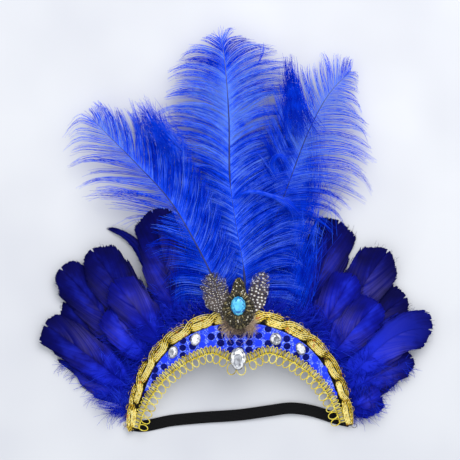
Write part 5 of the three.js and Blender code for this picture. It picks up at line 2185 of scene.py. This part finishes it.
class Plume:
    """One ostrich plume: a shaft and soft barbs that gather into pointed clumps."""

    root_depth: float = 2.25
    least_bend: float = 2.0
    least_reach: float = 8.0
    barb_girth: Triple = (0.2, 0.25, 0.11)
    tip_reach: Pair = (7.0, 20.0)

    def __init__(self, row: PlumeRow, steps: int = 7) -> None:
        """Takes the plume's row.

        Args:
            row: The plume.
            steps: Points along a barb.
        """
        self.row = row
        self.steps = steps
        root = (*row.root, float(BAND.rise(row.root[0])) - self.root_depth)
        self.route = Route(np.array([root, *row.shaft], dtype=float))
        self.vane = np.array(row.vane)
        self.girth = np.interp(np.linspace(0.0, 1.0, steps), [0.0, 0.5, 1.0], self.barb_girth)

    def column(self, column: Column, share: Array) -> Array:
        """Values of one column of the vane rows at shares of the shaft."""
        return np.interp(share, self.vane[:, 0], self.vane[:, column.value])

    def reach(self, side: Side, share: Array) -> Array:
        """Reach of the barbs of a side."""
        return self.column(Column[side.name], share)

    def style(self, side: Side) -> BarbStyle:
        """How the barbs of a side lie."""
        return self.row.barbs[side is Side.RIGHT]

    def paths(self, side: Side, share: Array, q: Array, opening: Array, turn: Array) -> Array:
        """Follows barbs from the shaft.

        Args:
            side: Side of the shaft.
            share: Share of the shaft where each starts, one a barb.
            q: Share of the reach at each point, barbs by points.
            opening: Degrees added to each barb's opening.
            turn: Degrees added to each barb's turn.

        Returns:
            Points, barbs by points by three.
        """
        style = self.style(side)
        start = self.route.at(share)[:, None, :]
        reach = self.reach(side, share)[:, None]
        wide = self.column(Column.OPENING, share) + style.open + opening
        first = (self.route.heading(share) + side.value * np.radians(wide))[:, None]
        bend = self.column(Column.TURN, share) + style.turn + turn
        bend = np.where(np.abs(bend) < self.least_bend, self.least_bend, bend)
        bend = side.value * np.radians(bend)[:, None]
        x = start[..., 0] + reach * (np.cos(first) - np.cos(first + bend * q)) / bend
        y = start[..., 1] + reach * (np.sin(first + bend * q) - np.sin(first)) / bend
        z = start[..., 2] - style.droop * np.maximum(q, 0.0) ** 1.5
        return np.stack([x, y, z], axis=-1)

    def side(self, side: Side) -> Strands:
        """Lays the barbs of one side.

        Args:
            side: Side of the shaft.

        Returns:
            The strands, with along and tint traits.
        """
        rng = default_rng(self.row.seed * 10 + side.value)
        style = self.style(side)
        clumps = style.clumps
        span = (min(0.11, self.vane[0, 0] - 0.02), 0.995)
        share = style.spots(span, (np.arange(style.count) + rng.random(style.count)) / style.count)
        share = share[self.reach(side, share) > self.least_reach]
        count = len(share)
        # Each barb belongs to the nearest clump, which sets its line.
        centres = style.spots(span, (np.arange(clumps) + rng.uniform(0.1, 0.9, clumps)) / clumps)
        own = np.abs(share[:, None] - centres[None, :]).argmin(axis=1)
        each = own[:, None]
        short = rng.random(count) < style.short
        clump_reach = rng.uniform(0.78, 1.06, clumps)[own]
        length = np.where(short, rng.uniform(0.3, 0.75, count), clump_reach * rng.uniform(0.78, 1.0, count))
        q = np.linspace(0.0, 1.0, self.steps)[None, :] * length[:, None]
        unlike = style.gather**2
        opening = rng.normal(0.0, 1.8 * unlike, clumps)[own]
        turn = rng.normal(0.0, 8.0 * unlike, clumps)[own]
        middle = self.paths(side, centres[own], q, opening, turn)
        opening, turn = opening + rng.normal(0.0, 2.0, count), turn + rng.normal(0.0, 4.0, count)
        points = self.paths(side, share, q, opening, turn)
        # Barbs lean to their clump's middle, most at their ends.
        near = np.abs(self.reach(side, centres[own]) - self.reach(side, share)) < 12.0
        strength = style.gather * rng.uniform(0.75, 1.0, clumps)[own] * rng.uniform(0.85, 1.0, count)
        strength = strength * (0.4 + 0.6 * smoothstep(share, 0.25, 0.5))
        strength = strength * (1.0 - 0.6 * smoothstep(share, 0.86, 0.97))
        pull = np.where(near & ~short, strength, 0.0)[:, None] * q**2
        points = points + (middle - points) * pull[..., None]
        # Waves to the side and hooked ends keep them from lying straight.
        way = np.diff(points, axis=1, append=2 * points[:, -1:] - points[:, -2:-1])
        flat = np.linalg.norm(way[..., :2], axis=-1) + 1e-6
        beside = np.stack([way[..., 1] / flat, -way[..., 0] / flat], axis=-1)
        swing = rng.uniform(0.3, 1.6, (count, 1)) * q * np.sin(q * rng.uniform(3.0, 8.0, (count, 1)) + each)
        sway = rng.normal(0.0, 2.4 * unlike, clumps)[each]
        swing = swing + sway * q * np.sin(q * 4.5 + each)
        hook = style.hook * rng.uniform(0.2, 1.8, clumps)[own] + rng.normal(0.0, 1.2, count)
        curl = hook[:, None] * side.value * np.maximum(0.0, q - 0.6) ** 2 / 0.14
        points[..., :2] += beside * (swing + curl)[..., None]
        body = np.sin(np.clip(q, 0.0, 1.0) * math.pi * 0.8)
        points[..., 2] += (rng.normal(0.0, 1.3, (count, 1)) + rng.normal(0.0, 1.2, clumps)[each]) * body
        for lift in self.row.lifts:
            if lift.side is side:
                inside = smoothstep(share, lift.start, lift.start + 0.08)
                inside = inside * (1.0 - smoothstep(share, lift.end - 0.08, lift.end))
                points[..., 2] += lift.height * inside[:, None] * smoothstep(q, 0.0, 0.6)
        points[..., 2] = np.maximum(points[..., 2], FLOOR)
        tint = (rng.normal(self.row.shade, 0.24, count) + rng.normal(0.0, 0.13, clumps)[own])[:, None]
        # On the upper part of each plume the barbs are painted paler, most near the shaft, as light shining
        # through them; every barb is a little darker towards its end.
        pale = smoothstep(share, *self.row.pale) * (1.0 - self.row.dark_tip * smoothstep(share, 0.82, 0.96))
        tint = tint + pale[:, None] * (0.14 + 0.4 * np.maximum(0.0, 1.0 - q) ** 1.5) - 0.1 * q
        return self.strands(points, q, tint)

    def strands(self, points: Array, q: Array, tint: Array) -> Strands:
        """Gives barbs their girth, their shares of the reach and a tint by barb or by point."""
        traits = {"along": np.clip(q, 0.0, 1.0), "tint": np.broadcast_to(tint, q.shape)}
        return Strands(points, np.broadcast_to(self.girth, q.shape), traits)

    def tip(self) -> Strands:
        """Lays the short barbs that close the plume's tip.

        Returns:
            The strands.
        """
        rng = default_rng(self.row.seed * 10 + 5)
        count = self.row.crown
        share = rng.uniform(0.96, 1.0, count)
        start = self.route.at(share)
        heading = self.route.heading(share) + np.radians(rng.normal(0.0, 22.0, count))
        reach = rng.uniform(*self.tip_reach, count)
        q = np.repeat(np.linspace(0.0, 1.0, self.steps)[None, :], count, axis=0)
        way = heading[:, None] + rng.normal(0.0, 0.35, (count, 1)) * q
        plan = start[:, None, :2] + (reach[:, None] * q)[..., None] * ahead_of(way)
        z = start[:, 2:] + rng.normal(0.0, 0.7, (count, 1)) * q
        return self.strands(raised(plan, z), q, rng.normal(0.5, 0.15, (count, 1)))

    def tuft(self, tuft: Tuft, number: int) -> Strands:
        """Lays barbs along a line of their own.

        Args:
            tuft: The line, its spread and its count.
            number: Which tuft of the plume it is.

        Returns:
            The strands.
        """
        rng = default_rng(self.row.seed * 10 + 6 + number)
        line = Route(np.array(tuft.line, dtype=float))
        count = tuft.count
        first = rng.uniform(0.0, 0.35, count)
        last = first + rng.uniform(0.45, 0.65, count)
        q = np.linspace(0.0, 1.0, self.steps)[None, :]
        share = first[:, None] + (last - first)[:, None] * q
        wide = np.interp(share, [0.0, 0.5, 1.0], tuft.spread)
        off = (rng.normal(0.0, 0.5, (count, 1)) * (1.0 - q) + rng.normal(0.0, 0.5, (count, 1)) * q) * wide
        off = off + 0.8 * np.sin(q * 5.0 + rng.uniform(0.0, 6.0, (count, 1))) * q
        points = line.at(share)
        points[..., :2] += right_of(line.heading(share)) * off[..., None]
        points[..., 2] += rng.normal(0.0, 1.0, (count, 1))
        tint = rng.normal(0.5 + tuft.tint, 0.12, (count, 1))
        return self.strands(points, np.broadcast_to(q, share.shape), tint)

    def both(self) -> Strands:
        """Lays the barbs of both sides, the tip and the tufts."""
        tufts = [self.tuft(tuft, number) for number, tuft in enumerate(self.row.tufts)]
        return Strands.joined([*map(self.side, Side), self.tip(), *tufts])

    def shaft(self, steps: int = 48) -> Strands:
        """Lays the shaft as one strand.

        Args:
            steps: Points along it.

        Returns:
            The strand.
        """
        share = np.linspace(0.0, 1.0, steps)
        points = self.route.at(share)
        low, high = self.row.hidden
        places = [0.0, low, low + 0.04, high, high + 0.06, 1.0]
        radius = np.interp(share, places, [1.9, 1.6, 0.3, 0.3, 1.2, 0.35])
        return Strands(points[None], radius[None], {"along": share[None], "tint": np.full((1, steps), 0.4)})


@dataclass
class Plumes:
    """The three ostrich plumes behind the medallion."""

    rows: tuple[PlumeRow, ...] = (LEFT_PLUME, CENTRE_PLUME, RIGHT_PLUME)

    def build(self) -> None:
        """Makes the barbs of each plume and the shafts."""
        shades = (rgb(3, 34, 196), rgb(8, 76, 254), rgb(106, 148, 255), rgb(8, 58, 232), rgb(52, 116, 255))
        # The root colour paints the barbs paler next to the shaft, as light shining through them.
        dye = FeatherFinish("ostrich_dye", 0.9, 0.0, 0.02, *shades, 0.7, 0.3, root_share=0.12).build()
        plumes = [Plume(row) for row in self.rows]
        for plume in plumes:
            plume.both().swept(f"barbs_{plume.row.node}", dye, "ostrich", plume.row.node)
        shades = (rgb(12, 18, 70), rgb(24, 34, 110), rgb(60, 70, 150), rgb(120, 128, 170))
        stem = FeatherFinish("plume_shaft", 0.45, 0.0, 0.5, *shades, tip_from=0.8, tip_share=0.8)
        shafts = Strands.joined([plume.shaft() for plume in plumes])
        shafts.swept("plume_shafts", stem.build(), "ostrich", sides=6)


@dataclass
class Studio:
    """Pale cloth, soft light and a camera straight above."""

    view_width: float = 0.529
    centre: Pair = (-0.0085, -0.0012)
    camera_height: float = 4.0
    sensor: float = 36.0
    clip: float = 50.0
    floor_half: float = 4.0
    floor_height: float = -0.0003
    sky: Colour = (0.93, 0.955, 1.0, 1.0)
    ambient: float = 0.94
    key_power: float = 16.5
    key_size: float = 1.2
    key_colour: Triple = (1.0, 0.98, 0.96)
    key_place: Triple = (0.35, 0.95, 1.35)

    def build(self) -> None:
        """Makes the camera, the light and the backdrop."""
        self.camera()
        self.light()
        self.backdrop()

    def camera(self) -> None:
        """Sets the camera straight above, with +Y up in the picture."""
        data = bpy.data.cameras.new("camera")
        data.sensor_fit = "HORIZONTAL"
        data.sensor_width = self.sensor
        data.lens = self.sensor * self.camera_height / self.view_width
        data.clip_end = self.clip
        camera = bpy.data.objects.new("camera", data)
        camera.location = (*self.centre, self.camera_height)
        bpy.context.scene.collection.objects.link(camera)
        bpy.context.scene.camera = camera

    def light(self) -> None:
        """Sets a pale surround and one large soft lamp beyond the plumes."""
        scene = bpy.context.scene
        world = bpy.data.worlds.new("surround")
        world.use_nodes = True
        ground = world.node_tree.nodes["Background"]
        ground.inputs["Color"].default_value = self.sky
        ground.inputs["Strength"].default_value = self.ambient
        scene.world = world
        data = bpy.data.lights.new("key", "AREA")
        data.energy = self.key_power
        data.size = self.key_size
        data.color = self.key_colour
        lamp = bpy.data.objects.new("key", data)
        lamp.location = self.key_place
        lamp.rotation_euler = (-Vector(self.key_place)).to_track_quat("-Z", "Y").to_euler()
        scene.collection.objects.link(lamp)
        scene.view_settings.view_transform = "Standard"

    def backdrop(self) -> None:
        """Lays the pale cloth just under the headdress."""
        half = self.floor_half
        corners = np.array([[-half, -half], [half, -half], [half, half], [-half, half]])
        floor = new_piece("backdrop", raised(corners, self.floor_height), faces=[[0, 1, 2, 3]])
        floor.data.materials.append(BackdropFinish("pale_cloth", roughness=0.9, specular=0.1).build())


def main() -> None:
    """Builds the headdress piece by piece."""
    logging.basicConfig(level=logging.INFO, format="%(message)s")
    for made in (Studio(), Band(), GoldTrims(), Stones(), Rosette(), GooseFans(), Plumes()):
        made.build()


if __name__ == "__main__":
    main()
